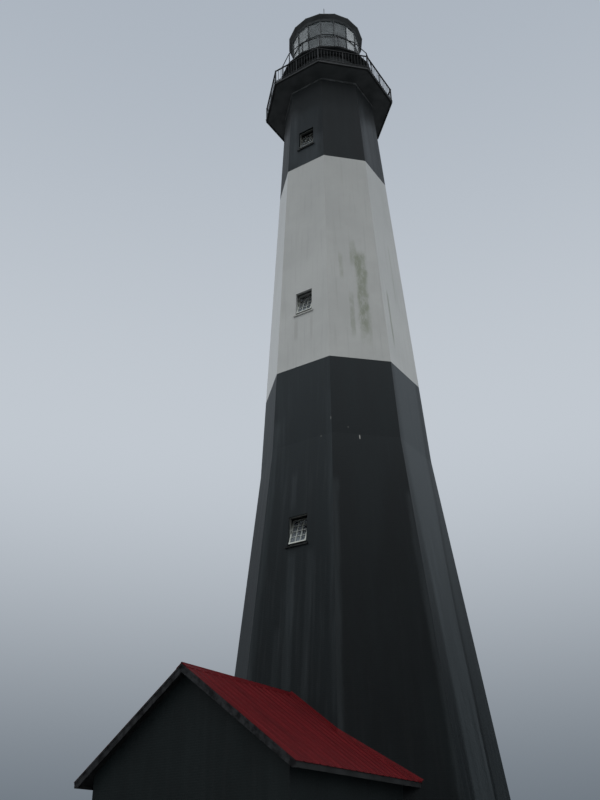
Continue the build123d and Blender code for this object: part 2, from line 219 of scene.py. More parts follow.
def coordinates(shader):
    """Where a point of the surface is, and which way the surface faces there."""
    return add("TexCoord", {}, shader.id_data)


def wire(shader, **inputs):
    """Joins patterns to the shader's inputs."""
    for name, value in inputs.items():
        shader.id_data.links.new(value, shader.inputs[name.replace("_", " ")])


print("materials start from one shader each")

# %% [markdown]
# Overcast daylight comes from everywhere, so a plain even world lights the object at a level where a
# colour renders about as it is written. What the lens sees is another matter: a grey sky, darker at the
# horizon and overhead. Glossy paint mirrors that sky too, but with dark land below it, as there is
# round a tower on a shore. Light Path tells these rays apart, so the picture's background never
# changes the light.

# %% Overcast sky
sky_horizon = colour(104, 113, 122)
sky_middle = colour(193, 200, 208)
sky_overhead = colour(168, 177, 188)
mirrored_overhead = colour(150, 158, 168)
land = colour(40, 44, 47)
daylight = 1.12

world = bpy.data.worlds.new("overcast sky")
bpy.context.scene.world = world
world.use_nodes = True
world.cycles.sampling_method = "NONE"
tree = world.node_tree
tree.nodes.clear()
up = add("SeparateXYZ", {0: add("TexCoord", {}, tree)["Generated"]})[2]
low_sky = mix(ease(up, 0.0, 0.45), sky_horizon, sky_middle)
direct_sky = mix(ease(up, 0.45, 0.9), low_sky, sky_overhead)
low_mirrored = mix(ease(up, 0.1, 0.8), land, sky_middle)
mirrored_sky = mix(ease(up, 0.6, 0.85), low_mirrored, mirrored_overhead)
path = add("LightPath", {}, tree)
seen_sky = mix(path["Is Glossy Ray"], direct_sky, mirrored_sky)
seen = calc("MAXIMUM", path["Is Camera Ray"], path["Is Glossy Ray"])
seen = calc("MAXIMUM", seen, path["Is Transmission Ray"])
even_light = add("Background", {"Color": (1, 1, 1, 1), "Strength": daylight}, tree)[0]
seen_light = add("Background", {"Color": seen_sky, "Strength": 1.0})[0]
both = add("MixShader", {0: seen, 1: even_light, 2: seen_light})[0]
add("OutputWorld", {"Surface": both})
bpy.context.scene.view_settings.view_transform = "Standard"
print(f"overcast sky, daylight {daylight}")

# %% [markdown]
# Even light alone leaves the shapes flat. One broad, weak lamp from high on one side gives them a
# light side and a darker one, with shadows too soft to have an edge.

# %% Soft lamp
lamp = bpy.data.lights.new("soft_lamp", "SUN")
lamp.energy = 0.3
lamp.angle = radians(70)
lamp.specular_factor = 0.1
lamp_object = bpy.data.objects.new("soft_lamp", lamp)
lamp_object.rotation_euler = (radians(38), 0, radians(35))
bpy.context.scene.collection.objects.link(lamp_object)
print(f"soft lamp, strength {lamp.energy:.1f}")

# %% [markdown]
# The floor is a plain pale disc, just under the walls, so wide that its edge is the horizon. Seen in
# glossy paint it takes the colour of the land, as the sky does below the horizon.

# %% Floor
floor_reach = 150
floor_drop = 0.001

bpy.ops.object.select_all(action="DESELECT")
bpy.ops.mesh.primitive_circle_add(
    vertices=64, radius=floor_reach, fill_type="NGON", location=(0, 0, -floor_drop)
)
floor = bpy.context.object
floor.name = "floor"
floor_paint, shader = new_material("pale_floor", 0.9, specular=0.1)
glossy_share = add("LightPath", {}, shader.id_data)["Is Glossy Ray"]
wire(shader, Base_Color=mix(glossy_share, colour(168, 171, 174), land))
floor.data.materials.append(floor_paint)
print(f"floor {2 * floor_reach} m across")

# %% [markdown]
# The walls are limewashed brick, and rain draws grey streaks down them. An image would fix the streaks
# to one size, so they are noise that is squeezed sideways and stretched upwards. Each face needs a
# level coordinate of its own for that. The surface's normal is turned a quarter round, and the point is
# measured along it, which gives metres to the side of the face's middle. The height is the other
# coordinate. A third number differs from face to face, so that no two faces have the same noise.

# %% Coordinates on the faces of a wall
def wall_coordinates(shader):
    """Metres from the middle of the face and up it, where it looks, and a vector of the face's own."""
    place = coordinates(shader)
    point = add("SeparateXYZ", {0: place["Object"]})
    normal = add("SeparateXYZ", {0: place["Normal"]})
    squares = plus(times(normal[0], normal[0]), times(normal[1], normal[1]))
    level_length = calc("MAXIMUM", calc("SQRT", squares), 0.001)
    east = calc("DIVIDE", normal[0], level_length)
    north = calc("DIVIDE", normal[1], level_length)
    along = minus(times(point[1], east), times(point[0], north))
    own = plus(times(east, 17.3), times(north, 9.1))
    flat = add("CombineXYZ", {0: along, 1: point[2], 2: own})[0]
    return {"middle": along, "height": point[2], "east": east, "north": north, "flat": flat}


def stretched(vector, across, down):
    """The vector squeezed sideways and stretched downwards, for streaks."""
    return add("Mapping", {"Vector": vector, "Scale": (across, down, 1.0)})[0]


def faces_towards(wall, angle, spread=0.06):
    """1 on the faces whose level normal points at an angle in degrees, and 0 on the others."""
    towards = plus(times(wall["east"], cos(radians(angle))), times(wall["north"], sin(radians(angle))))
    return ease(towards, 1 - spread, 1 - spread / 2)


print("a face is measured from its middle and from the ground")

# %% [markdown]
# Much of the wear follows the corners, and the shaft tapers, so a corner isn't at one distance from
# the middle of its face. Half a face's width falls with the height in two straight lines, one for each
# frustum. The lower line is the steeper one, so at each height the larger of the two is right.

# %% Distances from the corners of the shaft
def with_corners(wall):
    """Adds metres from the face's left and right corner, seen from outside, to its coordinates."""
    steep_slope = (bend_radius - base_radius) * sin(pi / 8) / bend_height
    slow_slope = (top_radius - bend_radius) * sin(pi / 8) / (shaft_height - bend_height)
    steep_start = base_radius * sin(pi / 8)
    slow_start = bend_radius * sin(pi / 8) - slow_slope * bend_height
    below = calc("MULTIPLY_ADD", wall["height"], steep_slope, steep_start)
    above = calc("MULTIPLY_ADD", wall["height"], slow_slope, slow_start)
    half = calc("MAXIMUM", below, above)
    wall["left"] = plus(half, wall["middle"])
    wall["right"] = minus(half, wall["middle"])
    return wall


print(f"a face is {2 * base_radius * sin(pi / 8):.3f} m wide at the ground")

# %% [markdown]
# A stain is a soft upright mark. Its sides are frayed by noise, so that it looks run and not drawn, and
# it fades in from its foot. Stains are listed by face, under the angle that the face looks at. Each
# row says where the stain is measured from, how far its middle is, its half width, its foot and
# head, and its strength.

# %% Stains
def stain(along, height, ragged, centre, half_width, low, high):
    """A soft upright stain: 1 in its middle and 0 outside, with ragged sides."""
    frayed = times(minus(ragged, 0.5), half_width)
    off = calc("ABSOLUTE", minus(plus(along, frayed), centre))
    side = ease(off, half_width * 0.35, half_width, 1.0, 0.0)
    fade = (high - low) * 0.3
    foot = ease(height, low, low + fade)
    head = ease(height, high - min(fade, 0.25), high, 1.0, 0.0)
    return times(side, times(foot, head))


def stains(wall, ragged, rows_of_face):
    """All the stains of a list, each on its own face only."""
    faces = []
    for angle, rows in rows_of_face.items():
        marks = total([
            (stain(wall[start], wall["height"], ragged, *place), strength)
            for start, *place, strength in rows
        ])
        faces.append((times(marks, faces_towards(wall, angle)), 1.0))
    return total(faces)


print("stains can be listed")

# %% [markdown]
# Under its many coats of wash the brick still shows as faint ridges. Brick Texture gives the courses:
# the bricks stand out, the joints lie back, and a lumpy coat lies over both. Real bricks in the wall
# would be a hundred thousand faces that nobody sees, so they are bump.

# %% Brick under the wash
brick_length = 0.107
brick_height = 0.034
joint = 0.0045
wash_relief = 0.0010


def brick_relief(flat):
    """Height of the surface, from 0 in the joints to 1 on the bricks."""
    bricks = add("TexBrick", {
        "Vector": flat, "Scale": 1.0, "Brick Width": brick_length, "Row Height": brick_height,
        "Mortar Size": joint, "Mortar Smooth": 0.6, "Color1": (1, 1, 1, 1), "Color2": (0.8, 0.8, 0.8, 1),
        "Mortar": (0, 0, 0, 1),
    })
    lumps = noise(flat, 45.0, 4.0)
    courses = times(bricks[0], 0.55)
    return plus(courses, times(lumps, 0.45))


print(f"{shaft_height / brick_height:.0f} courses of brick in the shaft")

# %% [markdown]
# The black wash has gone grey where water runs: beside the corners from top to bottom, in lines below
# the lowest window's sill, and under the gallery. The face that the weather hits has one broad pale
# band with a sharp edge.

# %% Stains of the black wash
black_stains = {
    -90: [
        ("left", 0.04, 0.16, 1.0, 9.2, 0.15),
        ("right", 0.02, 0.12, 1.0, 9.6, 0.08),
        ("middle", -0.09, 0.12, 2.6, 6.27, 0.16),
        ("middle", 0.30, 0.10, 2.6, 6.27, 0.13),
        ("middle", -0.32, 0.11, 1.5, 4.9, 0.08),
        ("middle", -0.12, 0.10, 6.92, 7.9, 0.13),
        ("middle", -0.42, 0.05, 7.2, 9.4, 0.08),
        ("left", 0.06, 0.22, 15.8, 18.4, 0.22),
        ("middle", 0.0, 0.50, 15.2, 18.2, 0.13),
        ("middle", 0.0, 0.50, 15.2, 17.2, 0.16),
        ("right", 0.10, 0.20, 15.9, 17.1, 0.12),
    ],
    -45: [
        ("left", 0.03, 0.11, 0.8, 7.6, 0.17),
        ("right", 0.0, 0.14, 0.8, 7.4, 0.17),
    ],
    0: [
        ("middle", -0.25, 0.13, 15.8, 18.5, 0.30),
        ("middle", 0.06, 0.08, 15.8, 18.3, 0.20),
    ],
}
pale_band_angle = 0


def pale_band(wall, ragged):
    """The broad pale band on the weather side, and the dull strip past its sharp edge."""
    edge = ease(wall["height"], 5.0, 8.5, 0.27, 0.46)
    frayed_edge = calc("MULTIPLY_ADD", ragged, 0.04, edge)
    past_edge = minus(wall["middle"], frayed_edge)
    inside = times(ease(wall["middle"], -0.66, -0.46), ease(past_edge, -0.06, 0.0, 1.0, 0.0))
    band = times(inside, ease(wall["height"], 10.6, 10.2))
    both = total([(band, 0.40), (ease(past_edge, 0.05, 0.11), 0.18)])
    return times(both, faces_towards(wall, pale_band_angle))


def black_marks(wall, ragged, fine):
    """How grey the black wash has gone, from 0 to 1, by its stains."""
    marks = plus(stains(wall, ragged, black_stains), pale_band(wall, ragged))
    return times(marks, ease(fine, 0.3, 0.65, 0.7, 1.15))


print(f"{sum(len(rows) for rows in black_stains.values())} stains on {len(black_stains)} faces")

# %% [markdown]
# Besides its stains the wash is evenly greyer, more on some faces than on others and more with
# height, up to the white band. This is partly wear and partly painted sheen: the faces seen at a slant
# are painted greyer for the sky that their gloss shows. Each face has the two heights that the grey
# grows between, and its share of grey at both. Four small chips have bared pale brick near the bend.

# %% Even wear and chips of the black wash
wear_and_sheen_of_face = {
    -135: (6.5, 10.3, 0.60, 0.92),
    -90: (4.5, 11.0, 0.11, 0.38),
    -45: (5.0, 11.5, 0.03, 0.24),
    0: (2.5, 9.5, 0.14, 0.56),
    45: (5.0, 11.0, 0.16, 0.36),
    90: (5.0, 11.0, 0.13, 0.38),
    135: (5.0, 11.5, 0.09, 0.28),
    180: (2.5, 9.5, 0.14, 0.48),
}
chips = {
    -90: [
        ("middle", 0.67, 0.014, 8.79, 8.87, 0.25),
        ("middle", 0.45, 0.022, 8.46, 8.51, 0.12),
    ],
    -45: [
        ("middle", -0.36, 0.016, 8.62, 8.67, 0.12),
        ("middle", -0.14, 0.015, 8.38, 8.50, 0.6),
    ],
}


def wear_and_sheen(wall):
    """The share of grey, from wear and painted sheen, by face and height, and less of it above the white
    band.
    """
    worn = total([
        (times(faces_towards(wall, angle), ease(wall["height"], *reach)), 1.0)
        for angle, reach in wear_and_sheen_of_face.items()
    ])
    return times(worn, ease(wall["height"], 12.0, 15.0, 1.0, 0.3))


print(f"wear on {len(wear_and_sheen_of_face)} faces, chips on {len(chips)}")

# %% [markdown]
# The paint itself is near black, with a low gloss that picks up the sky. Right under the deck it is
# duller, and painted a lighter grey: partly dust where no rain reaches, and partly painted sheen for
# the sky that the deck keeps out of the gloss. The tower and the annex have the same wash, but the
# annex is in a plainer tone and has none of the tower's own marks.

# %% Black wash
sheltered_angle = -135
smooth_angle = -45


def black_wash(name, marked, dark, light):
    """Black wash in two tones, with the marks of the tower's own weather or plain."""
    material, shader = new_material(name, 0.38, specular=0.2)
    wall = with_corners(wall_coordinates(shader))
    fine = noise(stretched(wall["flat"], 11.0, 0.5), 1.0, 4.0, 0.6)
    ragged = noise(stretched(wall["flat"], 5.0, 0.9), 1.0, 4.0, 0.65)
    cloudy = noise(stretched(wall["flat"], 2.4, 0.5), 1.0, 5.0, 0.6)
    below_deck = ease(wall["height"], 17.5, 18.9, 1.0, 0.25)
    streaks = ease(fine, 0.46, 0.8, 0.0, 0.16 if marked else 0.05)
    fewer = calc("MULTIPLY_ADD", faces_towards(wall, smooth_angle), -0.75, 1.0)
    greyness = times(streaks, fewer)
    if marked:
        greyness = plus(greyness, black_marks(wall, ragged, fine))
    greyness = times(greyness, below_deck)
    # Wear, and painted sheen on the faces seen at a slant.
    greyness = plus(greyness, wear_and_sheen(wall))
    paint = mix(ease(cloudy, 0.3, 0.7), dark, light)
    # Lighter grey under the deck: dust, and painted sheen for the sky that the deck hides from the gloss.
    paint = mix(below_deck, colour(40, 43, 45), paint)
    surface = mix(greyness, paint, colour(60, 67, 71))
    if marked:
        surface = mix(stains(wall, ragged, chips), surface, colour(160, 160, 156))
    sheltered = times(faces_towards(wall, sheltered_angle), 0.12)
    dullness = plus(sheltered, ease(below_deck, 0.25, 1.0, 0.3, 0.0))
    wire(shader, Base_Color=surface, Roughness=plus(ease(fine, 0.3, 0.8, 0.34, 0.44), dullness))
    wire(shader, Normal=bump(brick_relief(wall["flat"]), wash_relief))
    return material


black_paint = black_wash("black_limewash", True, colour(4, 9, 11), colour(7, 15, 17))
annex_paint = black_wash("annex_limewash", False, colour(10, 15, 15), colour(14, 21, 21))
print("black wash is mixed for the tower and the annex")

# %% [markdown]
# The white band is the same wall in white wash. Green algae grows where rain stays longest, in a
# column down the middle of one face, with thinner threads on the next, and rust-grey water has run
# from the window's sill. The column is four stains, broken up by a second noise.

# %% Stains of the white wash
algae_column = {-45: [
    ("middle", 0.17, 0.17, 10.5, 13.3, 1.0),
    ("middle", -0.10, 0.07, 10.7, 12.1, 0.55),
    ("middle", -0.28, 0.06, 12.3, 13.2, 0.5),
    ("middle", 0.02, 0.10, 12.7, 13.6, 0.6),
]}
algae_threads = {0: [
    ("middle", -0.34, 0.05, 10.7, 12.4, 0.7),
    ("middle", 0.1, 0.04, 12.0, 14.0, 0.4),
]}
sill_stains = {-90: [
    ("middle", -0.19, 0.07, 10.9, 11.63, 0.5),
    ("middle", 0.2, 0.05, 10.8, 11.63, 0.35),
]}


def algae(wall, ragged):
    """How green the wash is: the broken column, and the threads on the next face."""
    patches = noise(stretched(wall["flat"], 9.0, 4.0), 1.0, 5.0, 0.7)
    column = times(stains(wall, ragged, algae_column), ease(patches, 0.3, 0.6, 0.25, 1.0))
    return plus(column, stains(wall, ragged, algae_threads))


print(f"algae on {len(algae_column | algae_threads)} faces, rust-grey water on {len(sill_stains)}")

# %% [markdown]
# White wash is never one white. It goes between two tones in clouds, is lighter on three faces, most
# of all on the one that looks at -135 degrees, and greyer towards the black band above, where soot and
# dust come down. Fine streaks, the sill's stains and the algae are then laid over it, one after
# another, as they came.

# %% White wash
white_paint, shader = new_material("white_limewash", 0.44)
wall = wall_coordinates(shader)
fine = noise(stretched(wall["flat"], 16.0, 0.7), 1.0, 4.0, 0.6)
ragged = noise(stretched(wall["flat"], 6.0, 2.2), 1.0, 5.0, 0.7)
cloudy = noise(wall["flat"], 0.9, 4.0, 0.6)
lighter_faces = total([
    (faces_towards(wall, -90), 0.10),
    (faces_towards(wall, 0), 0.33),
    (faces_towards(wall, -135), 0.82),
])
surface = mix(ease(cloudy, 0.3, 0.7), colour(150, 153, 152), colour(142, 145, 144))
surface = mix(lighter_faces, surface, colour(182, 187, 189))
surface = mix(ease(wall["height"], 11.0, 16.2, 0.0, 0.25), surface, colour(118, 122, 122))
surface = mix(ease(fine, 0.5, 0.85, 0.0, 0.35), surface, colour(118, 121, 118))
surface = mix(times(stains(wall, ragged, sill_stains), 0.6), surface, colour(112, 112, 106))
surface = mix(times(algae(wall, ragged), 0.72), surface, colour(96, 104, 84))
wire(shader, Base_Color=surface, Normal=bump(brick_relief(wall["flat"]), wash_relief))
print("white wash is mixed")

# %% [markdown]
# The other paints are plainer, so one function mixes them all: a base colour, a second colour in soft
# patches, fine grain for the gloss, and a little relief. Ironwork, boards, stone and the rod differ
# only in their numbers. The railings are still black, and the lantern and its roof have chalked to
# grey. The watch room and the decks are black iron too, but they are painted grey as painted light,
# to make up for the shade that the decks cast on them.

# %% Painted iron, boards and stone
def patchy_finish(name, first, second, roughness, patch_scale=6.0, grain_scale=160.0, depth=0.0006,
                  metallic=0.0):
    """A finish that goes between two colours in patches, with fine grain in its gloss and relief."""
    material, shader = new_material(name, roughness, metallic)
    place = coordinates(shader)["Object"]
    patches = noise(place, patch_scale, 5.0, 0.6)
    grain = noise(place, grain_scale, 3.0)
    wire(shader, Base_Color=mix(ease(patches, 0.35, 0.65), first, second))
    wire(shader, Roughness=ease(grain, 0.3, 0.7, roughness - 0.07, roughness + 0.09))
    wire(shader, Normal=bump(grain, depth))
    return material


iron_paint = patchy_finish("black_iron_paint", colour(18, 20, 21), colour(28, 30, 31), 0.48)
frame_paint = patchy_finish("lantern_frame_paint", colour(54, 59, 61), colour(68, 73, 75), 0.48)
roof_paint = patchy_finish("roof_iron_paint", colour(42, 46, 48), colour(53, 57, 59), 0.5, 3.0)
# Painted light: the watch room is painted lighter than its black iron, for the shade that the lantern deck
# casts on it.
watch_lightened_paint = patchy_finish("watch_room_lightened_paint", colour(36, 40, 41), colour(54, 58, 60), 0.5, 2.5)
# Painted light: the decks are painted lighter than their black iron, for the shade on their undersides.
deck_lightened_paint = patchy_finish("deck_lightened_paint", colour(38, 42, 43), colour(52, 55, 56), 0.55, 2.0)
neck_paint = patchy_finish("neck_course_wash", colour(52, 56, 57), colour(76, 80, 81), 0.6, 9.0)
rod_finish = patchy_finish("rod_metal", colour(88, 90, 90), colour(66, 68, 69), 0.45, 12.0, metallic=0.6)
board_paint = patchy_finish(
    "weathered_board_paint", colour(5, 6, 8), colour(32, 35, 38), 0.66, 13.0, 90.0, 0.001
)
fascia_paint = patchy_finish("fascia_paint", colour(24, 27, 28), colour(34, 37, 38), 0.6, 3.0)
door_paint = patchy_finish("entrance_door_paint", colour(17, 19, 21), colour(26, 29, 31), 0.5, 4.0)
threshold_stone = patchy_finish(
    "threshold_stone", colour(98, 95, 91), colour(122, 118, 112), 0.75, 7.0, 60.0, 0.002
)
print("iron, boards, rod and stone have their finish")

# %% [markdown]
# The sashes are painted white, and shade is painted on them: dark under the head, where the reveal
# shades them, and light at the foot, which stands out into the daylight. The same is true in each
# window, so the height that counts is the one above the middle of the nearest window: the full height
# less one step for each window passed. The highest window is painted in shade all over, and so are
# the faces that look down.

# %% Paint of the sashes
def height_in_window(height):
    """Metres above the middle of the nearest window."""
    lower, middle, upper = window_centres.values()
    past_lower = calc("GREATER_THAN", height, (lower + middle) / 2)
    past_middle = calc("GREATER_THAN", height, (middle + upper) / 2)
    steps = total([(past_lower, middle - lower), (past_middle, upper - middle)])
    return minus(minus(height, lower), steps)


sash_paint, shader = new_material("sash_paint", 0.5)
place = coordinates(shader)
grain = noise(place["Object"], 20.0, 5.0, 0.6)
height = add("SeparateXYZ", {0: place["Object"]})[2]
upward = add("SeparateXYZ", {0: place["Normal"]})[2]
# Painted shade under the head of each sash, where the reveal shades it, and over the highest window.
painted_shade = ease(height_in_window(height), -0.16, 0.20)
painted_shade = calc("MAXIMUM", painted_shade, ease(height, 14.4, 14.6, 0.0, 0.92))
patches = ease(grain, 0.35, 0.65)
sash_white = mix(patches, colour(172, 178, 175), colour(150, 155, 150))
shaded_sash = mix(patches, colour(86, 89, 86), colour(60, 63, 60))
surface = mix(painted_shade, sash_white, shaded_sash)
# Painted shade on the faces that look down.
surface = mix(ease(upward, -0.7, -0.4, 1.0, 0.0), surface, colour(50, 53, 51))
wire(shader, Base_Color=surface, Normal=bump(noise(place["Object"], 160.0), 0.0006))
print("sash paint is mixed")

# %% [markdown]
# The sills were washed with the wall they lie in: white in the white band and black in the others. All
# six are one solid, so their paint changes with the height, where the wall's does.

# %% Wash on the sills
sill_paint, shader = new_material("sill_wash", 0.55, specular=0.35)
place = coordinates(shader)["Object"]
height = add("SeparateXYZ", {0: place})[2]
grain = noise(place, 14.0, 4.0)
above = ease(height, lower_band_top, lower_band_top + 0.01)
white = times(above, ease(height, upper_band_low, upper_band_low + 0.01, 1.0, 0.0))
black = mix(ease(grain, 0.4, 0.7), colour(22, 25, 26), colour(44, 48, 49))
pale = mix(ease(grain, 0.4, 0.75), colour(150, 153, 151), colour(120, 122, 118))
wire(shader, Base_Color=mix(white, black, pale), Normal=bump(grain, 0.001))
print("sill wash is mixed")

# %% [markdown]
# Each roof slope of the annex is one slab, for its rafters and boards. From below it shows dark boards,
# and its top and edges take the red of the sheet that lies on it. Which way the surface faces tells the
# two apart.

# %% Boards under the red roof
decking_paint, shader = new_material("roof_decking", 0.6)
place = coordinates(shader)
upward = add("SeparateXYZ", {0: place["Normal"]})[2]
grain = noise(place["Object"], 22.0, 4.0)
surface = mix(ease(upward, -0.2, 0.2), colour(20, 22, 23), colour(72, 17, 21))
surface = mix(ease(grain, 0.5, 0.8, 0.0, 0.3), surface, colour(60, 60, 58))
wire(shader, Base_Color=surface, Normal=bump(grain, 0.001))
print("roof boards are painted")

# %% [markdown]
# The floors are worn flagstones, larger than bricks but laid the same way, so Brick Texture gives them
# too. Its joints lie back, and a soft noise wears the stones to a darker grey where feet have gone.

# %% Flagstones
flag_length = 0.42
flag_width = 0.28

flagstones, shader = new_material("worn_flagstones", 0.75)
place = coordinates(shader)["Object"]
stones = add("TexBrick", {
    "Vector": place, "Scale": 1.0, "Brick Width": flag_length, "Row Height": flag_width,
    "Mortar Size": 0.006, "Mortar Smooth": 0.3, "Color1": colour(128, 124, 118),
    "Color2": colour(106, 103, 99), "Mortar": colour(70, 68, 64),
})
trodden = ease(noise(place, 5.0, 5.0), 0.4, 0.7, 0.0, 0.5)
wire(shader, Base_Color=mix(trodden, stones[0], colour(92, 90, 86)))
wire(shader, Normal=bump(plus(stones[1], noise(place, 60.0)), 0.003))
print("flagstones are laid")

# %% [markdown]
# The roof sheets are painted dark red and have dulled in runs down the slope. A Mapping node stretches
# the noise along the slope for that. Small pale specks are lichen and chalked paint.

# %% Red sheet
red_paint, shader = new_material("red_roof_paint", 0.5, specular=0.12)
place = coordinates(shader)["Object"]
running = add("Mapping", {"Vector": place, "Scale": (1.0, 9.0, 1.0)})[0]
dull = noise(running, 1.3, 5.0, 0.65)
speck = noise(place, 34.0, 3.0)
red = mix(ease(dull, 0.35, 0.7), colour(89, 12, 18), colour(74, 11, 16))
red = mix(ease(speck, 0.62, 0.8, 0.0, 0.3), red, colour(92, 36, 38))
wire(shader, Base_Color=red, Normal=bump(speck, 0.0006))
print("red sheet is painted")

# %% [markdown]
# Glass at this distance is a mirror for the sky at a low angle and a dark hole face on. A full glass
# shader would bend light twice through each thin pane and turn noisy, so a pane is a thin film that
# light passes through: alpha says how much the film covers. On the panes of two sides, which are seen
# at a slant, the film is painted thicker and whiter, as painted light for the sky that shows through
# them and in them.

# %% Plate glass of the lantern
lantern_pane, shader = new_material("lantern_plate_glass", 0.06)
wall = wall_coordinates(shader)
place = coordinates(shader)["Object"]
# Painted light: a thicker, whiter film on the panes of two sides, for the sky seen through and in them.
slant_lit_panes = plus(faces_towards(wall, -135, 0.22), faces_towards(wall, 0, 0.1))
film = calc("MULTIPLY_ADD", slant_lit_panes, 0.24, 0.34)
patches = ease(noise(place, 3.0, 5.0), 0.35, 0.75, 0.75, 1.25)
wire(shader, Base_Color=mix(slant_lit_panes, colour(112, 119, 122), colour(172, 178, 181)))
wire(shader, Alpha=times(film, patches), Roughness=ease(noise(place, 9.0), 0.3, 0.8, 0.04, 0.09))
print("lantern panes are glazed")

# %% [markdown]
# The window panes are older glass. Their film is thin under the head and thick and pale at the foot,
# as a painted reflection of the sky, which the glass mirrors at the foot, while under the head it
# mirrors the dark reveal. So a window looks dark above and milky below.

# %% Old glass of the windows
window_pane, shader = new_material("window_pane_glass", 0.06)
place = coordinates(shader)["Object"]
height = add("SeparateXYZ", {0: place})[2]
# Painted reflection: a pale film at the foot of each pane, where the glass mirrors the sky.
film = ease(height_in_window(height), -0.26, 0.06, 0.42, 0.10)
patches = ease(noise(place, 5.0, 4.0), 0.35, 0.65, 0.6, 1.4)
shader.inputs["Base Color"].default_value = colour(112, 120, 126)
wire(shader, Alpha=times(film, patches), Roughness=ease(noise(place, 9.0), 0.3, 0.8, 0.04, 0.14))
print("window panes are glazed")

# %% [markdown]
# Each solid gets its finish by assigning a material to its slot. A dictionary from the record's slot
# names to materials does most of them, and a second one names the few solids that differ.

# %% Finishes on the solids
finish_of_slot = {
    "black_render": black_paint,
    "white_render": white_paint,
    "floor_stone": flagstones,
    "sash_paint": sash_paint,
    "window_glass": window_pane,
    "black_iron": iron_paint,
    "lantern_glass": lantern_pane,
    "roof_iron": roof_paint,
    "rod_metal": rod_finish,
    "red_roof": red_paint,
    "black_wood": board_paint,
}
finish_of_solid = {
    "annex_front_wall": annex_paint,
    "annex_left_wall": annex_paint,
    "annex_right_wall": annex_paint,
    "neck_course": neck_paint,
    "window_sills": sill_paint,
    "watch_room_wall": watch_lightened_paint,
    "lantern_frame": frame_paint,
    "gallery_deck": deck_lightened_paint,
    "lantern_deck": deck_lightened_paint,
    "annex_left_fascia": fascia_paint,
    "annex_right_fascia": fascia_paint,
    "entrance_door": door_paint,
    "entrance_door_frame": door_paint,
    "annex_left_roof": decking_paint,
    "annex_right_roof": decking_paint,
}
for part in frame["record"]["subparts"]:
    solid = solids[part["node"]]
    solid.data.materials.clear()
    solid.data.materials.append(finish_of_solid.get(part["node"], finish_of_slot[part["material_slot"]]))
print(f"{len(solids)} solids have their finish")

# %% [markdown]
# From here on, new pieces are modelled as by hand: a primitive is added at its size and place, then
# shaped in edit mode. An operator works on all that is selected, so each step starts by selecting one
# piece and nothing else. A finished piece keeps its place in its mesh, and its object stays at the
# origin.

# %% Start a piece and open it
def take(piece):
    """Selects one piece and nothing else."""
    bpy.ops.object.select_all(action="DESELECT")
    piece.select_set(True)
    bpy.context.view_layer.objects.active = piece


def start(primitive, **settings):
    """Adds a primitive on its own and makes its place part of its mesh."""
    bpy.ops.object.select_all(action="DESELECT")
    primitive(**settings)
    bpy.ops.object.transform_apply(location=True, rotation=True, scale=True)
    return bpy.context.object


def edit(piece):
    """Opens a piece in edit mode with all of it selected."""
    take(piece)
    bpy.ops.object.mode_set(mode="EDIT")
    bpy.ops.mesh.select_mode(type="VERT")
    bpy.ops.mesh.select_all(action="SELECT")


def close(piece):
    """Leaves edit mode."""
    bpy.ops.object.mode_set(mode="OBJECT")
    return piece


print("a piece can be started, opened and closed")

# %% [markdown]
# In edit mode, faces are picked by a test on their middle and normal, as a person picks them by eye.
# What is picked is then inset, drawn out or scaled.

# %% Pick and shape
def pick_faces(piece, test):
    """Selects the faces whose middle and normal pass a test."""
    bpy.ops.mesh.select_mode(type="FACE")
    shape = bmesh.from_edit_mesh(piece.data)
    for face in shape.faces:
        face.select_set(test(face.calc_center_median(), face.normal))
    bmesh.update_edit_mesh(piece.data)


def on_top(middle, normal):
    """Passes the faces that look up."""
    return normal.z > 0.9


def on_ends(middle, normal):
    """Passes the faces that look up or down."""
    return abs(normal.z) > 0.9


def pull(x, y, z):
    """Extrudes what is selected by a distance along each axis."""
    bpy.ops.mesh.extrude_region_move(TRANSFORM_OT_translate={"value": (x, y, z)})


def inset(piece, test, *steps):
    """Insets the faces that pass a test, once for each width and depth."""
    edit(piece)
    pick_faces(piece, test)
    for width, depth in steps:
        bpy.ops.mesh.inset(thickness=width, depth=depth)
    return close(piece)


def squashed(piece, centre, *scale):
    """Scales a piece about a point."""
    edit(piece)
    bpy.ops.transform.resize(value=scale, center_override=centre)
    return close(piece)


print("faces can be picked, inset, pulled and scaled")

# %% [markdown]
# A mesh that is built by extruding and cutting can end with double points, or with faces that look
# inwards and so render and export wrong. Each such mesh is cleaned at its end. Modifiers give walls,
# soft edges and cuts, and are applied at once, so that the next step works on real faces.

# %% Clean a mesh and apply modifiers
def outward(piece):
    """Merges doubles and turns all faces outwards."""
    edit(piece)
    bpy.ops.mesh.remove_doubles(threshold=0.00005)
    bpy.ops.mesh.normals_make_consistent(inside=False)
    return close(piece)


def facing_up(sheet):
    """Turns the faces of an open sheet upwards."""
    edit(sheet)
    bpy.ops.mesh.normals_make_consistent(inside=False)
    close(sheet)
    if sum(face.normal.z for face in sheet.data.polygons) < 0:
        edit(sheet)
        bpy.ops.mesh.flip_normals()
        close(sheet)
    return sheet


def applied(piece, kind, **settings):
    """Adds a modifier with its settings and applies it."""
    take(piece)
    modifier = piece.modifiers.new(kind, kind)
    for name, value in settings.items():
        setattr(modifier, name, value)
    bpy.ops.object.modifier_apply(modifier=modifier.name)
    return piece


print("meshes can be cleaned and modifiers applied")

# %% [markdown]
# Like pieces are made once and copied, because the real ones came from one mould or one jig. A copy
# has a mesh of its own, moved by a matrix, and a row of copies is joined into one mesh. The left side
# of the annex is its right side in a mirror.

# %% Copies and joins
mirror = Matrix.Diagonal((-1, 1, 1, 1))
point_east = Matrix.Rotation(pi / 2, 4, "Y")
point_south = Matrix.Rotation(pi / 2, 4, "X")


def at(x, y, z):
    """A shift, for placing copies."""
    return Matrix.Translation((x, y, z))


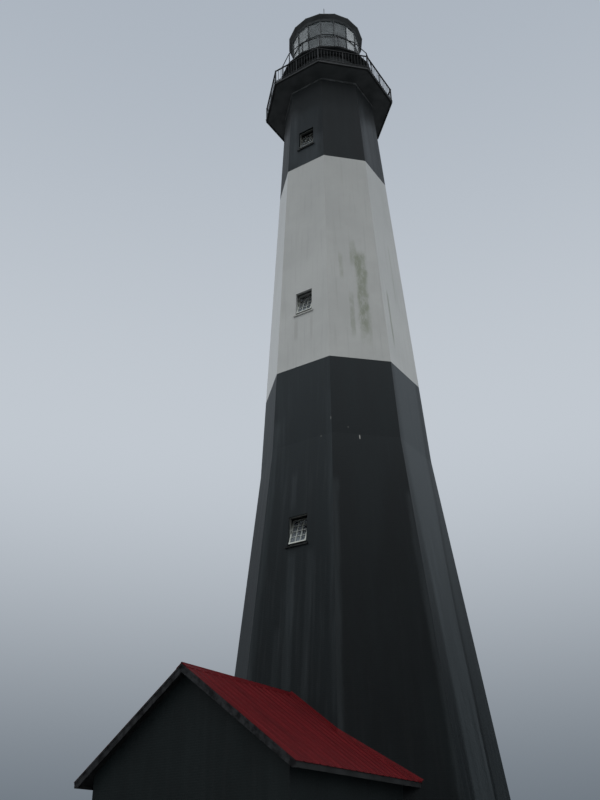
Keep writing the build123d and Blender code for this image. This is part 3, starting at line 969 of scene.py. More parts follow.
def along_line(foot, reach):
    """From an upright piece at the origin to one that starts at a foot and runs along a vector."""
    return Matrix.Translation(foot) @ reach.to_track_quat("Z", "X").to_matrix().to_4x4()


def turned(piece, matrix):
    """Turns or shifts the mesh of a piece, and leaves its object at the origin."""
    piece.data.transform(matrix)
    return piece


def moved(piece, matrix):
    """A copy of a piece, with its own mesh, put somewhere else."""
    copied = piece.copy()
    copied.data = piece.data.copy()
    copied.data.transform(matrix)
    bpy.context.scene.collection.objects.link(copied)
    return copied


def mirrored(piece):
    """A copy of a piece on the other side of the building."""
    return outward(moved(piece, mirror))


def joined(pieces):
    """Makes several pieces one mesh."""
    bpy.ops.object.select_all(action="DESELECT")
    for piece in pieces:
        piece.select_set(True)
    bpy.context.view_layer.objects.active = pieces[0]
    bpy.ops.object.join()
    return bpy.context.object


def repeated(piece, places):
    """One mesh with a copy of the piece at each place, and the first piece taken away."""
    copies = [moved(piece, place) for place in places]
    bpy.data.objects.remove(piece)
    return joined(copies)


def round_turns(count, first=0.0):
    """Turns about the tower's axis, evenly spaced, from a first angle in degrees."""
    return [Matrix.Rotation(radians(first + 360 * step / count), 4, "Z") for step in range(count)]


print("a ring of 16 turns by", 360 / len(round_turns(16)), "degrees a step")

# %% [markdown]
# Smith's and joiner's stock comes in few kinds: bars, rods, bolts and rivets. A bar is a cube between
# two corners with its edges eased, because no real edge is sharp and an eased one catches the light.
# A bolt is a washer whose top is inset and drawn up. Both heads are a few faces each, as there are
# hundreds of them.

# %% Bars, rods, bolts and rivets
def bar(low, high, edge=0.0015):
    """A straight bar between two corners with its edges eased."""
    middle = [(a + b) / 2 for a, b in zip(low, high)]
    size = [b - a for a, b in zip(low, high)]
    piece = start(bpy.ops.mesh.primitive_cube_add, size=1, location=middle, scale=size)
    edit(piece)
    bpy.ops.mesh.bevel(offset=edge, segments=1)
    return close(piece)


def rod(sides, radius, length, middle, turn=(0, 0, 0)):
    """A round bar about its middle, upright unless it is turned."""
    return start(bpy.ops.mesh.primitive_cylinder_add, vertices=sides, radius=radius, depth=length,
                 location=middle, rotation=turn)


def bolt(radius, height):
    """A bolt head on a washer, standing on the ground at the origin."""
    washer = rod(10, radius * 1.45, height * 0.25, (0, 0, height * 0.125))
    edit(washer)
    pick_faces(washer, on_top)
    bpy.ops.mesh.inset(thickness=radius * 0.45)
    pull(0, 0, height * 0.6)
    pull(0, 0, height * 0.15)
    bpy.ops.transform.resize(value=(0.72, 0.72, 1.0))
    return close(washer)


def rivet(radius, height):
    """A low domed rivet head, standing at the origin."""
    dome = rod(8, radius, height * 0.5, (0, 0, height * 0.25))
    edit(dome)
    pick_faces(dome, on_top)
    pull(0, 0, height * 0.5)
    bpy.ops.transform.resize(value=(0.55, 0.55, 1.0))
    return close(dome)


print("bars, rods, bolts and rivets can be made")

# %% [markdown]
# Every piece ends the same way. It gets its name and paint, smooth shading on its round sides but not
# over its edges, and it is fastened to the building. Where it stands for a plain solid, that one is
# replaced.

# %% Finish a piece
def finished(piece, name, slot, finish, *replaced):
    """Names a piece, paints it, shades it and fastens it to the building."""
    piece.name = name
    piece.data.name = name
    piece.data.materials.clear()
    piece.data.materials.append(finish)
    take(piece)
    bpy.ops.object.shade_smooth_by_angle(angle=radians(30))
    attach(piece, "root")
    if replaced:
        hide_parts(*replaced)
    low = Vector([min(v.co[axis] for v in piece.data.vertices) for axis in range(3)])
    high = Vector([max(v.co[axis] for v in piece.data.vertices) for axis in range(3)])
    size = high - low
    print(f"{name}: {size.x:.3f} x {size.y:.3f} x {size.z:.3f}, {len(piece.data.polygons)} faces")


print("pieces can be named, painted and fastened")

# %% [markdown]
# Each sash is three panes wide and four high. Real glazing bars are thin strips of wood with a rebate
# for the glass on their outside. One set of bars is made upright, as on the bench, then set in the
# first window at the sash's own tilt, and copied to the other five. The level bars are a hair
# shallower than the upright ones, so that no two faces lie in one plane where they cross.

# %% Glazing bars in the six sashes
window_setback = 0.062
frame_depth = 0.050
sash_half_width = 0.189
sash_length = 0.543
sash_rail = 0.028
sash_lean = radians(19)
sash_depth = 0.034
bar_width = 0.0105
bar_inset = 0.003
bar_edge = 0.002
bar_step = 0.0005
pane_columns = 3
pane_rows = 4


def window_front(centre):
    """Y of the outside of a front window's fixed frame."""
    return -shaft_radius(centre) * cos(pi / 8) + window_setback


def pivoted(side, centre):
    """From the bench to the window: turn on the pivots, foot out and head in, and face front or back."""
    pivots = at(0, window_front(centre) + frame_depth / 2, centre) @ Matrix.Rotation(-sash_lean, 4, "X")
    from_bench = at(0, -sash_depth / 2, sash_length / 2)
    return Matrix.Rotation(0 if side == "front" else pi, 4, "Z") @ pivots @ from_bench


def bench_bars():
    """The bars of one sash, upright, with the head of the sash at height 0."""
    light = sash_half_width - sash_rail
    front = bar_inset
    back = sash_depth - bar_inset
    strips = []
    for column in range(1, pane_columns):
        x = -light + 2 * light * column / pane_columns
        strips.append(bar((x - bar_width / 2, front, sash_rail - sash_length),
                          (x + bar_width / 2, back, -sash_rail), bar_edge))
    for row in range(1, pane_rows):
        z = -sash_rail - (sash_length - 2 * sash_rail) * row / pane_rows
        strips.append(bar((-light, front + bar_step, z - bar_width / 2),
                          (light, back - bar_step, z + bar_width / 2), bar_edge))
    return joined(strips)


bars = bench_bars()
for side in ("front", "back"):
    for level, centre in window_centres.items():
        set_bars = moved(bars, pivoted(side, centre))
        finished(set_bars, f"{side}_{level}_glazing_bars", "sash_paint", sash_paint)
bpy.data.objects.remove(bars)

# %% [markdown]
# A sash that stands open is held by something: it turns on two pivots at its mid-height, and a short
# stay at each foot corner keeps it from swinging. Each pivot shows as a small plate with a pin head on
# the stile, and the stay is a flat strip from the frame's bottom rail to a lug on the sash. They are
# small, so a pin has only twelve sides.

# %% Pivots and stays of the sashes
iron_edge = 0.0008
plate_thickness = 0.003
pin_radius = 0.006
pin_stand = 0.0055
lug_inset = 0.010
lug_height = -0.499
lug_pin = 0.042
stay_foot = 0.012


def bench_ironwork():
    """Pivot plates on the stiles of the closed sash, and the lugs that the stays are pinned to."""
    parts = []
    middle = -sash_length / 2
    for side in (-1, 1):
        x = side * (sash_half_width - sash_rail / 2)
        parts.append(bar((x - 0.009, -plate_thickness, middle - 0.035),
                         (x + 0.009, 0.0, middle + 0.035), iron_edge))
        pin = rod(12, pin_radius, pin_radius, (x, -pin_stand, middle), (pi / 2, 0, 0))
        parts.append(inset(pin, lambda centre, normal: normal.y < -0.9, (0.002, 0.0015)))
        lug_x = side * (sash_half_width - lug_inset)
        parts.append(bar((lug_x - 0.004, 0.032, lug_height - 0.006),
                         (lug_x + 0.004, 0.046, lug_height + 0.006), iron_edge))
    return joined(parts)


def stay(side, centre):
    """The flat strip from the fixed frame's bottom rail to the lug on the tilted sash."""
    lug = pivoted("front", centre) @ Vector((side * (sash_half_width - lug_inset), lug_pin, lug_height))
    foot = Vector((lug.x, window_front(centre) + stay_foot, centre - sash_length / 2))
    reach = lug - foot
    strip = bar((-0.002, -0.006, 0), (0.002, 0.006, reach.length), iron_edge)
    return turned(strip, along_line(foot, reach))


ironwork = bench_ironwork()
fittings = []
for level, centre in window_centres.items():
    front_set = joined([moved(ironwork, pivoted("front", centre)), stay(-1, centre), stay(1, centre)])
    fittings += [moved(front_set, Matrix.Rotation(pi, 4, "Z")), front_set]
bpy.data.objects.remove(ironwork)
finished(joined(fittings), "sash_pivots_and_stays", "black_iron", iron_paint)

# %% [markdown]
# The gallery, the watch room and the lantern are edged with rolled iron. A band that follows a polygon
# is quickest from a circle with as many corners as the polygon: extrude it up, and give it a wall with
# Solidify. The eight-sided rings have a flat to the front and the sixteen-sided ones a corner.

# %% Polygon bands for decks, flanges and mouldings
first_corner = {8: pi / 8, 16: 0.0}


def band(sides, radius, low, high, wall, edge):
    """An upright band round a polygon with this outer corner radius, with its edges eased."""
    piece = start(bpy.ops.mesh.primitive_circle_add, vertices=sides, radius=radius,
                  location=(0, 0, low), rotation=(0, 0, first_corner[sides]))
    edit(piece)
    pull(0, 0, high - low)
    bpy.ops.mesh.select_all(action="SELECT")
    bpy.ops.mesh.normals_make_consistent(inside=False)
    close(piece)
    outside = sum(f.center.x * f.normal.x + f.center.y * f.normal.y for f in piece.data.polygons)
    inwards = -1.0 if outside > 0 else 1.0
    applied(piece, "SOLIDIFY", thickness=wall, offset=inwards, use_even_offset=True)
    applied(piece, "BEVEL", width=edge, segments=2, limit_method="ANGLE", angle_limit=radians(50))
    return outward(piece)


def heights(node):
    """The lowest and highest point of a solid."""
    low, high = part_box(node)
    return low.z, high.z


print("decks at", [round(heights(node)[1], 3) for node in ("gallery_deck", "lantern_deck")])

# %% [markdown]
# The gallery is cast and rolled iron. An angle runs round the top edge of its deck and another one
# round the lower edge. Each post stands on a flange with four bolts, with a collar where it meets the
# flange. Eight posts stand at the corners and eight in the middle of the sides, all on one rail line.

# %% Edge of the gallery deck and feet of its posts
rail_inset = 0.018
foot_height = 0.008
foot_bolt_radius = 0.006
foot_bolt_height = 0.008
bolt_seat = 0.001
collar_radius = 0.026
collar_height = 0.018

deck_low, deck_high = heights("gallery_deck")
deck_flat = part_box("gallery_deck")[1].x
deck_radius = deck_flat / cos(pi / 8)
rail_line = deck_flat - rail_inset
top_angle = band(8, deck_radius + 0.006, deck_high - 0.016, deck_high + 0.004, 0.03, 0.004)
bottom_angle = band(8, deck_radius + 0.004, deck_low - 0.006, deck_low + 0.012, 0.05, 0.003)
finished(joined([top_angle, bottom_angle]), "gallery_deck_edging", "black_iron", iron_paint)

flange = bar((-0.042, -0.036, deck_high), (0.028, 0.036, deck_high + foot_height), 0.002)
heads = repeated(bolt(foot_bolt_radius, foot_bolt_height), [
    at(x, y, deck_high + foot_height - bolt_seat) for x in (-0.032, 0.018) for y in (-0.026, 0.026)
])
foot = joined([flange, heads])
collar = rod(16, collar_radius, collar_height, (0, 0, deck_high + foot_height + collar_height / 2))
edit(collar)
pick_faces(collar, on_top)
bpy.ops.mesh.bevel(offset=0.006, segments=3)
foot = joined([foot, close(collar)])
corner_feet = [turn @ at(rail_line / cos(pi / 8), 0, 0) for turn in round_turns(8, 22.5)]
middle_feet = [turn @ at(rail_line, 0, 0) for turn in round_turns(8)]
finished(repeated(foot, corner_feet + middle_feet), "gallery_post_feet", "black_iron", iron_paint)

# %% [markdown]
# The watch room is made of sixteen flat iron plates. Where two plates meet, a cover strip is riveted
# over the joint. One strip, bent on the corner, is made with its rivets and copied round. The strips
# beside the doorway stay, because the door is cut within one plate.

# %% Cover strips of the watch room
watch_low, watch_high = heights("watch_room_wall")
watch_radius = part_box("watch_room_wall")[1].x
plate_turn = pi / 16
flange_height = 0.05
strip_width = 0.05
strip_thickness = 0.006
strip_rivets = 10
rivet_margin = 0.03
rivet_size = 0.004


def corner_strip(low, high):
    """A bent cover strip on the corner at angle 0, with a row of rivets on each wing."""
    parts = []
    face = watch_radius * cos(plate_turn)
    gap = (high - low - 2 * rivet_margin) / (strip_rivets - 1)
    for side in (-1, 1):
        face_turn = Matrix.Rotation(side * plate_turn, 4, "Z")
        corner = -side * watch_radius * sin(plate_turn)
        sides = sorted((corner, corner + side * strip_width / 2))
        wing = bar((face, sides[0], low), (face + strip_thickness, sides[1], high))
        parts.append(turned(wing, face_turn))
        row = at(face + strip_thickness - 0.0005, corner + side * strip_width * 0.3, low + rivet_margin)
        head = turned(rivet(rivet_size, rivet_size), point_east)
        parts.append(repeated(head, [
            face_turn @ row @ at(0, 0, gap * count) for count in range(strip_rivets)
        ]))
    return joined(parts)


strip = corner_strip(watch_low + flange_height, watch_high - flange_height)
finished(repeated(strip, round_turns(16)), "watch_room_strips", "black_iron", watch_lightened_paint)

# %% [markdown]
# A rolled angle with bolts holds the wall to the deck below and another one to the deck above. Each
# angle is two bands, one against the wall and one flat on the deck. Three bolts hold each plate's foot.

# %% Flanges of the watch room
angle_stand = 0.009
angle_reach = 0.045
angle_thickness = 0.008
bolt_line = 0.027
wall_bands = [
    band(16, watch_radius + angle_stand, low, low + flange_height, angle_stand, 0.002)
    for low in (watch_low, watch_high - flange_height)
]
flat_bands = [
    band(16, watch_radius + angle_reach, low, low + angle_thickness, angle_reach, 0.002)
    for low in (watch_low, watch_high - angle_thickness)
]
face = (watch_radius + bolt_line) * cos(plate_turn)
foot_bolts = repeated(bolt(0.007, 0.01), [
    turn @ at(face, y, watch_low + angle_thickness)
    for turn in round_turns(16, 11.25) for y in (-0.13, 0.0, 0.13)
])
finished(joined(wall_bands + flat_bands + [foot_bolts]), "watch_room_flanges", "black_iron", iron_paint)

# %% [markdown]
# The small iron door on the hidden side has three strap hinges, a lever handle on a plate, and a rain
# bar over it. They are made on a door that faces along X, and the whole set is then turned to its side.

# %% Fittings of the watch room's door
door_turn = Matrix.Rotation(radians(101.25), 4, "Z")
door_face = watch_radius * cos(plate_turn)
leaf_face = door_face - 0.013
door_half = 0.165
strap_thickness = 0.004
hinge_edge = 0.001
door_edge = 0.002


def door_bar(out_from, out_to, y_from, y_to, z_from, z_to, edge=door_edge):
    """A bar by its distances from the leaf, along the leaf, and up from the room's floor."""
    return bar((leaf_face + out_from, y_from, watch_low + z_from),
               (leaf_face + out_to, y_to, watch_low + z_to), edge)


door_parts = []
for height in (0.14, 0.43, 0.72):
    door_parts.append(door_bar(0, strap_thickness, -door_half + 0.004, door_half * 0.3,
                               height - 0.011, height + 0.011, hinge_edge))
    knuckle = rod(10, 0.006, 0.034, (leaf_face + 0.005, -door_half + 0.006, watch_low + height))
    door_parts.append(inset(knuckle, on_ends, (0.002, 0.0015)))
plate = door_bar(0, strap_thickness, door_half - 0.04, door_half - 0.018, 0.40, 0.48, hinge_edge)
lever = door_bar(0.014, 0.021, door_half - 0.085, door_half - 0.024, 0.444, 0.452)
spindle = door_bar(0, 0.018, door_half - 0.033, door_half - 0.025, 0.444, 0.452)
hood = door_bar(0.013, 0.043, -door_half - 0.03, door_half + 0.03, 0.875, 0.887)
door_set = turned(joined(door_parts + [plate, lever, spindle, hood]), door_turn)
finished(door_set, "watch_room_door_fittings", "black_iron", iron_paint)

# %% [markdown]
# The upper deck is thinner, and its edge is a half-round bar that throws the rain clear. Each of its
# sixteen posts has a small foot with two bolts, and the ring rail a ball where a post meets it.

# %% Edge, feet and balls of the lantern deck
ring_low, ring_high = heights("lantern_deck")
ring_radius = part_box("lantern_deck")[1].x
ring_post_radius = ring_radius - 0.016
ball_radius = 0.0145
edging = band(16, ring_radius + 0.007, ring_low + 0.006, ring_high + 0.003, 0.022, 0.006)
under = band(16, ring_radius - 0.02, ring_low - 0.006, ring_low, 0.03, 0.002)
finished(joined([edging, under]), "lantern_deck_edging", "black_iron", iron_paint)

ring_foot = bar((-0.022, -0.022, ring_high), (0.016, 0.022, ring_high + 0.006))
ring_bolts = repeated(bolt(0.004, 0.005), [at(-0.015, y, ring_high + 0.0055) for y in (-0.015, 0.015)])
ball_place = (0, 0, heights("lantern_railing")[1] - 0.009)
ball = start(bpy.ops.mesh.primitive_uv_sphere_add, segments=12, ring_count=8, radius=ball_radius,
             location=ball_place)
squashed(ball, ball_place, 1.0, 1.0, 0.9)
ring_set = joined([ring_foot, ring_bolts, ball])
finished(repeated(ring_set, [turn @ at(ring_post_radius, 0, 0) for turn in round_turns(16)]),
         "ring_rail_fittings", "black_iron", iron_paint)

# %% [markdown]
# The lantern's panes are held from outside by cover bars that are screwed to the uprights. Below the
# glass is a drip moulding, so that rain running down the panes falls clear of the iron sill, and the
# head ring has a bead where the roof sits on it.

# %% Cover bars, drip moulding and beads of the lantern
glass_low, tier_low = heights("lantern_lower_glass")
tier_high, glass_high = heights("lantern_upper_glass")
frame_top = heights("lantern_frame")[1]
mullion_face = 0.939
sill_radius = 0.94
head_radius = 0.945
cover_half_width = 0.007
cover_thickness = 0.005
cover_screws = 12
screw_spacing = 0.1

cover = bar((mullion_face, -cover_half_width, glass_low + 0.004),
            (mullion_face + cover_thickness, cover_half_width, glass_high - 0.002))
screws = repeated(turned(rivet(0.0028, 0.0022), point_east), [
    at(mullion_face + cover_thickness - 0.0005, 0, glass_low + 0.04 + screw_spacing * count)
    for count in range(cover_screws)
])
covers = repeated(joined([cover, screws]), round_turns(16))
mouldings = [
    band(16, mullion_face + 0.004, tier_low + 0.004, tier_high - 0.004, 0.004, 0.001),
    band(16, sill_radius + 0.018, glass_low - 0.022, glass_low + 0.004, 0.03, 0.006),
    band(16, sill_radius + 0.012, ring_high, ring_high + 0.03, 0.012, 0.004),
    band(16, head_radius + 0.010, glass_high + 0.004, glass_high + 0.022, 0.012, 0.005),
    band(16, head_radius + 0.014, frame_top - 0.02, frame_top + 0.002, 0.016, 0.006),
]
finished(joined([covers] + mouldings), "lantern_cover_bars", "black_iron", frame_paint)

# %% [markdown]
# Under the glass the iron sill has a sunk panel in each of its sixteen sides. A thin plate on each side
# is inset twice, first for its border and then down for the step.

# %% Panels of the lantern sill
panel_face = sill_radius * cos(plate_turn)
panel_half_width = 0.155
panel = bar((panel_face, -panel_half_width, ring_high + 0.05),
            (panel_face + 0.004, panel_half_width, glass_low - 0.04), 0.001)
inset(panel, lambda centre, normal: normal.x > 0.9, (0.014, 0), (0.003, -0.003))
finished(repeated(panel, round_turns(16, 11.25)), "lantern_sill_panels", "black_iron", iron_paint)

# %% [markdown]
# The roof is sixteen sheets of iron. Where two sheets meet they are folded over a roll, so a round rib
# runs down every hip. The eave ends in a rolled bead. A rib is a rod laid along the hip: its ends are
# worked out from the eave and the top of the roof.

# %% Hip rolls and eave bead
eave_radius = 1.036
eave_low = 21.639
eave_high = 21.667
roof_top = 22.147
roof_top_radius = 0.11
roll_radius = 0.011
hip_foot = Vector((eave_radius, 0, eave_high))
hip = Vector((roof_top_radius, 0, roof_top)) - hip_foot
roll = rod(10, roll_radius, hip.length, (0, 0, hip.length / 2))
inset(roll, lambda centre, normal: normal.z < -0.9, (0.004, 0.004))
rolls = repeated(turned(roll, along_line(hip_foot, hip)), round_turns(16))
bead = band(16, eave_radius + 0.008, eave_low + 0.002, eave_high + 0.001, 0.016, 0.008)
finished(joined([rolls, bead]), "roof_hip_rolls", "roof_iron", roof_paint)

# %% [markdown]
# Some pieces are an outline that is turned or drawn out. In edit mode that is a point which is extruded
# from place to place. A turned piece is then spun about the tower's axis, as on a lathe.

# %% Outlines
def outline_through(points):
    """A line through points, left open in edit mode with all of it selected."""
    line = start(bpy.ops.mesh.primitive_plane_add, size=0.01, location=points[0])
    edit(line)
    bpy.ops.mesh.merge(type="CENTER")
    for here, following in zip(points, points[1:]):
        pull(*(Vector(following) - Vector(here)))
    bpy.ops.mesh.select_all(action="SELECT")
    return line


def profile_turned(points, segments):
    """Turns an outline of (radius, height) points about the tower's axis."""
    piece = outline_through([(radius, 0, height) for radius, height in points])
    bpy.ops.mesh.spin(steps=segments, angle=2 * pi, center=(0, 0, 0), axis=(0, 0, 1))
    return outward(close(piece))


print("outlines can be drawn and turned")

# %% [markdown]
# The ventilator is a ball of sheet iron on a neck, and it was spun and seamed by hand. Its outline
# starts on the roof, sweeps up to the neck, passes a collar and goes round the ball. Sixteen upright
# seams and one round its middle stand a little proud. They are thin rings, cut off where the ball
# meets its collar and its top.

# %% Ventilator ball
vent_low, vent_high = heights("ventilator_ball")
vent_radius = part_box("ventilator_ball")[1].x
neck_radius = 0.078
rod_foot_radius = 0.02
ball_segments = 48
ball_steps = 20
open_top = 0.12
sweep_steps = 6
skirt_radius = roof_top_radius + 0.012
skirt_height = 0.034
skirt_foot = vent_low - 0.004
collar_reach = neck_radius + 0.009
ball_centre = vent_high - vent_radius * cos(asin(rod_foot_radius / vent_radius))

lowest = asin(neck_radius / vent_radius)
ball_turns = [lowest + (pi - lowest - open_top) * step / ball_steps for step in range(ball_steps + 1)]
ball_arc = [(vent_radius * sin(turn), ball_centre - vent_radius * cos(turn)) for turn in ball_turns]
sweep_turns = [step * pi / 2 / sweep_steps for step in range(sweep_steps + 1)]
skirt_arc = [
    (neck_radius + (skirt_radius - neck_radius) * (1 - sin(turn)),
     skirt_foot + skirt_height * (1 - cos(turn)))
    for turn in sweep_turns
]
ball_foot = ball_arc[0][1]
outline = [(0.0, skirt_foot), *skirt_arc, (neck_radius, ball_foot - 0.03)]
outline += [(collar_reach, ball_foot - 0.022), (collar_reach, ball_foot - 0.008)]
outline += [*ball_arc, (0.0, ball_arc[-1][1] + 0.0005)]
vent_ball = profile_turned(outline, ball_segments)


def ring(thickness, sides, turn):
    """A thin ring round the ball."""
    return start(bpy.ops.mesh.primitive_torus_add, major_radius=vent_radius, minor_radius=thickness,
                 major_segments=ball_segments, minor_segments=sides, location=(0, 0, ball_centre),
                 rotation=turn)


seam = ring(0.0028, 8, (0, 0, 0))
ridge = ring(0.0022, 6, (pi / 2, 0, 0))
edit(ridge)
bpy.ops.mesh.bisect(plane_co=(0, 0, ball_arc[1][1]), plane_no=(0, 0, 1), clear_inner=True, use_fill=True)
bpy.ops.mesh.select_all(action="SELECT")
bpy.ops.mesh.bisect(plane_co=(0, 0, vent_high - 0.004), plane_no=(0, 0, 1), clear_outer=True, use_fill=True)
close(ridge)
ridges = repeated(ridge, [Matrix.Rotation(pi * step / 8, 4, "Z") for step in range(8)])
finished(joined([vent_ball, seam, ridges]), "ventilator", "roof_iron", roof_paint, "ventilator_ball")

# %% [markdown]
# The annex has a gabled roof of ribbed sheet against the tower. Its ridge, verge and eave are read
# from the solids, and the ribs are spread evenly from the verge to where the sheet ends behind the
# tower's face.

# %% Sizes of the annex roof
ridge_height = heights("annex_left_roof")[1]
roof_pitch = radians(36.87)
verge_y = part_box("annex_barge_boards")[0].y
eave_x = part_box("annex_barge_boards")[1].x
rib_spacing = 0.19
rib_height = 0.010
rib_foot = 0.036
rib_head = 0.018
sheet_thickness = 0.0022
sheet_end = -1.2
sheet_length = sheet_end - verge_y
sheet_lift = 0.0006
slope_length = (eave_x + 0.012) / cos(roof_pitch)
rib_count = int(sheet_length / rib_spacing)
first_rib = verge_y + (sheet_length - (rib_count - 1) * rib_spacing) / 2
ribs = [first_rib + count * rib_spacing for count in range(rib_count)]
print(f"{rib_count} ribs on each slope, {slope_length:.3f} m long")

# %% [markdown]
# A sheet is made lying flat beside the ridge line, and then turned to the pitch. A roofer cuts it to
# the tower with snips. Here a copy of the shaft is taken out of it.

# %% Fit a piece to the roof and the tower
def on_slope(lift=0.0, side=1):
    """From a piece lying flat beside the ridge line to the slope on one side."""
    return at(0, 0, ridge_height + lift) @ Matrix.Rotation(side * roof_pitch, 4, "Y")


def shaft_cutter(extra=0.0):
    """The shaft's lower frustum, larger by a distance square to its faces, to cut with."""
    more = extra / cos(pi / 8)
    cutter = start(bpy.ops.mesh.primitive_cone_add, vertices=8, radius1=base_radius + more,
                   radius2=bend_radius + more, depth=bend_height, location=(0, 0, bend_height / 2),
                   rotation=(0, 0, pi / 8))
    return outward(cutter)


def trimmed(piece, cutter, operation):
    """Takes the cutter's shape out of a piece, or keeps only what lies in it."""
    return applied(piece, "BOOLEAN", operation=operation, solver="EXACT", object=cutter)


tower = shaft_cutter()
print(f"the cutter is {tower.dimensions.x:.3f} m wide")

# %% [markdown]
# The ribs run down the slope to shed water. The profile of one rib is the only shape that matters,
# so a flat strip is cut into lines across the slope, and the faces on the ribs are raised. The sheet
# then gets its thickness.

# %% Ribbed sheets on the annex roof
def ribbed_sheet():
    """The right slope's sheet, lying flat from the ridge line out along X, ribs upward."""
    middle = (slope_length / 2, verge_y + sheet_length / 2, 0)
    sheet = start(bpy.ops.mesh.primitive_plane_add, size=1, location=middle)
    squashed(sheet, middle, slope_length, sheet_length, 1)
    edit(sheet)
    for rib in ribs:
        for line in (rib - rib_foot / 2, rib - rib_head / 2, rib + rib_head / 2, rib + rib_foot / 2):
            bpy.ops.mesh.select_all(action="SELECT")
            bpy.ops.mesh.bisect(plane_co=(0, line, 0), plane_no=(0, 1, 0))
    pick_faces(sheet, lambda centre, normal: min(abs(centre.y - rib) for rib in ribs) < rib_head / 4)
    bpy.ops.transform.translate(value=(0, 0, rib_height))
    facing_up(close(sheet))
    return outward(applied(sheet, "SOLIDIFY", thickness=sheet_thickness, offset=1.0))


right_sheet = turned(ribbed_sheet(), on_slope(sheet_lift))
left_sheet = mirrored(right_sheet)
for sheet, name in ((right_sheet, "annex_right_sheet"), (left_sheet, "annex_left_sheet")):
    finished(trimmed(sheet, tower, "DIFFERENCE"), name, "red_roof", red_paint)

# %% [markdown]
# Where the sheets end against the tower, a folded strip of red sheet closes the joint. One wing lies
# over the ribs, with its edge turned down between them, and the other stands against the wall. Both
# follow the tower's two faces round the corner, so each wing is cut from a slab by a shaft that is a
# little larger than the real one.

# %% Flashing against the tower
flashing_wing = 0.055
flashing_upstand = 0.035
flashing_thickness = 0.003
wing_edge = 0.0005


def flashing_half():
    """Both wings on the right slope."""
    over_ribs = rib_height + sheet_thickness
    wings = []
    for low, high, reach in (
        (sheet_thickness, over_ribs + flashing_thickness, flashing_wing),
        (over_ribs - 0.001, over_ribs + flashing_upstand, flashing_thickness),
    ):
        wing = bar((0.02, verge_y, low), (slope_length - 0.012, sheet_end, high), wing_edge)
        grown = shaft_cutter(reach)
        trimmed(turned(wing, on_slope(sheet_lift)), grown, "INTERSECT")
        bpy.data.objects.remove(grown)
        wings.append(trimmed(wing, tower, "DIFFERENCE"))
    return joined(wings)


right_flashing = flashing_half()
left_flashing = mirrored(right_flashing)
finished(joined([right_flashing, left_flashing]), "annex_flashing", "red_roof", red_paint)

# %% [markdown]
# The ridge cap is a strip folded over the ridge, with a roll along the top and its edges turned down
# between the ribs. It is drawn as an outline at the verge and extruded back to the tower.

# %% Ridge cap
cap_reach = 0.095
cap_thickness = 0.003
cap_roll = 0.018
cap_gap = 0.002
hem_reach = 0.004
hem_drop = 0.010


def cap_outline():
    """The cap's outline at the verge, from its right edge over the roll to its left edge."""
    top = ridge_height + rib_height / cos(roof_pitch) + cap_gap
    hem = top - cap_reach * tan(roof_pitch)
    shoulder = top - cap_roll * tan(roof_pitch)
    turns = [pi * step / 12 for step in range(7)]
    arc = [(cap_roll * cos(turn), shoulder + cap_roll * sin(turn)) for turn in turns]
    right = [(cap_reach + hem_reach, hem - hem_drop), (cap_reach, hem), *arc]
    left = [(-x, z) for x, z in reversed(right[:-1])]
    return [(x, verge_y, z) for x, z in right + left]


cap = outline_through(cap_outline())
pull(0, sheet_length, 0)
facing_up(close(cap))
cap = outward(applied(cap, "SOLIDIFY", thickness=cap_thickness, offset=-1.0))
finished(trimmed(cap, tower, "DIFFERENCE"), "annex_ridge_roll", "red_roof", red_paint, "annex_ridge_cap")
bpy.data.objects.remove(tower)

# %% [markdown]
# Roofing screws with washers hold each rib down in rows. A few dozen faces each is too much for
# something so small and so many, so each is a low eight-sided dome. The rows stop short of the tower.

# %% Screws of the roof sheets
screw_lines = (0.16, 0.72, 1.28, 1.84, 2.3)
tower_gap = 0.03
past_tower = 1.75
places = []
for side in (1, -1):
    for rib in ribs:
        for line in screw_lines:
            place = on_slope(side=side) @ at(side * line, rib, rib_height + sheet_thickness)
            spot = place.translation
            wall = shaft_radius(spot.z) * cos(pi / 8)
            if -spot.y > wall + tower_gap or abs(spot.x) > past_tower:
                places.append(place)
finished(repeated(rivet(0.0055, 0.005), places), "annex_roof_screws", "red_roof", red_paint)

# %% [markdown]
# The barge boards close the front edge of the roof. Each is one wide board with a narrow drip board
# nailed along its top, and the two meet at the ridge in a plumb joint. A board is a bar that is turned
# to the pitch and cut upright at both ends, and the left one is the right one mirrored.

# %% Barge boards
barge_depth = 0.100
barge_thickness = 0.020
drip_depth = 0.028
drip_thickness = 0.007
drip_lap = 0.001
board_clearance = 0.0005
spare_length = 0.1
fascia_foot = heights("annex_right_fascia")[0]


def sloping_board(front, back, depth):
    """A board on the right slope, cut plumb at the ridge and the eave, and level with the fascia's foot."""
    length = eave_x / cos(roof_pitch)
    board = bar((-spare_length, front, -depth), (length + spare_length, back, -board_clearance))
    edit(turned(board, on_slope()))
    cuts = (
        ((board_clearance, 0, 0), (-1, 0, 0)),
        ((eave_x, 0, 0), (1, 0, 0)),
        ((0, 0, fascia_foot), (0, 0, -1)),
    )
    for place, away in cuts:
        bpy.ops.mesh.select_all(action="SELECT")
        bpy.ops.mesh.bisect(plane_co=place, plane_no=away, clear_outer=True, use_fill=True)
    return outward(close(board))


drip_back = verge_y + drip_thickness
right_boards = [
    sloping_board(drip_back - drip_lap, verge_y + barge_thickness, barge_depth),
    sloping_board(verge_y, drip_back, drip_depth),
]
left_boards = [mirrored(board) for board in right_boards]
finished(joined(right_boards + left_boards),
         "barge_boards", "black_wood", board_paint, "annex_barge_boards")

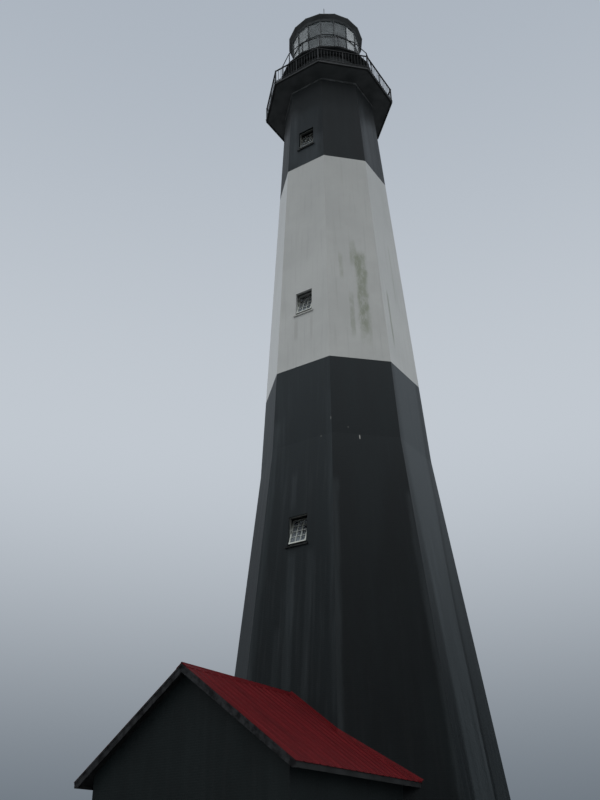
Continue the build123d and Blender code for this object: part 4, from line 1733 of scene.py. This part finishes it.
# %% [markdown]
# The entrance door is a ledged and panelled door on three strap hinges, each held by four nails. It has
# a knob on a plate. A strap ends in a loop round its pin, which shows as a short upright rod.

# %% Fittings of the entrance door
door_low, door_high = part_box("entrance_door")
face = door_low.y
half = (door_high.x - door_low.x) / 2
knob_height = 0.5
nail_spacing = 0.06
strap_nails = 4
fittings = []
for height in (0.13, 0.52, 0.90):
    z = door_low.z + height
    fittings.append(bar((-half + 0.004, face - 0.004, z - 0.014), (-half + 0.24, face, z + 0.014), 0.0012))
    pin = rod(12, 0.007, 0.042, (-half + 0.002, face - 0.006, z))
    fittings.append(inset(pin, on_ends, (0.002, 0.002)))
    nail = turned(rivet(0.004, 0.003), point_south)
    fittings.append(repeated(nail, [
        at(-half + 0.03 + nail_spacing * count, face - 0.0035, z) for count in range(strap_nails)
    ]))

plate_z = door_low.z + knob_height
knob_x = half - 0.027
knob_z = plate_z + 0.012
fittings.append(bar((half - 0.04, face - 0.003, plate_z - 0.05),
                    (half - 0.014, face, plate_z + 0.03), 0.001))
knob_place = (knob_x, face - 0.026, knob_z)
knob = start(bpy.ops.mesh.primitive_uv_sphere_add, segments=16, ring_count=10, radius=0.013,
             location=knob_place)
fittings.append(squashed(knob, knob_place, 1, 0.72, 1))
neck = rod(12, 0.006, 0.022, (knob_x, face - 0.012, knob_z), (pi / 2, 0, 0))
edit(neck)
pick_faces(neck, lambda centre, normal: normal.y > 0.9)
bpy.ops.transform.resize(value=(1.6, 1, 1.6))
fittings.append(close(neck))
finished(joined(fittings), "entrance_door_fittings", "black_iron", iron_paint)

# %% [markdown]
# In front of the door lies a worn stone threshold, a slab that is a little wider than the doorway and
# rises just above the annex's floor, so that no rain runs in.

# %% Threshold
threshold_half_width = 0.27
threshold_front = -4.79
threshold_back = -4.66
floor_top = heights("annex_floor")[1]
threshold = bar((-threshold_half_width, threshold_front, floor_top - 0.02),
                (threshold_half_width, threshold_back, floor_top + 0.012), 0.004)
finished(threshold, "entrance_threshold", "floor_stone", threshold_stone)
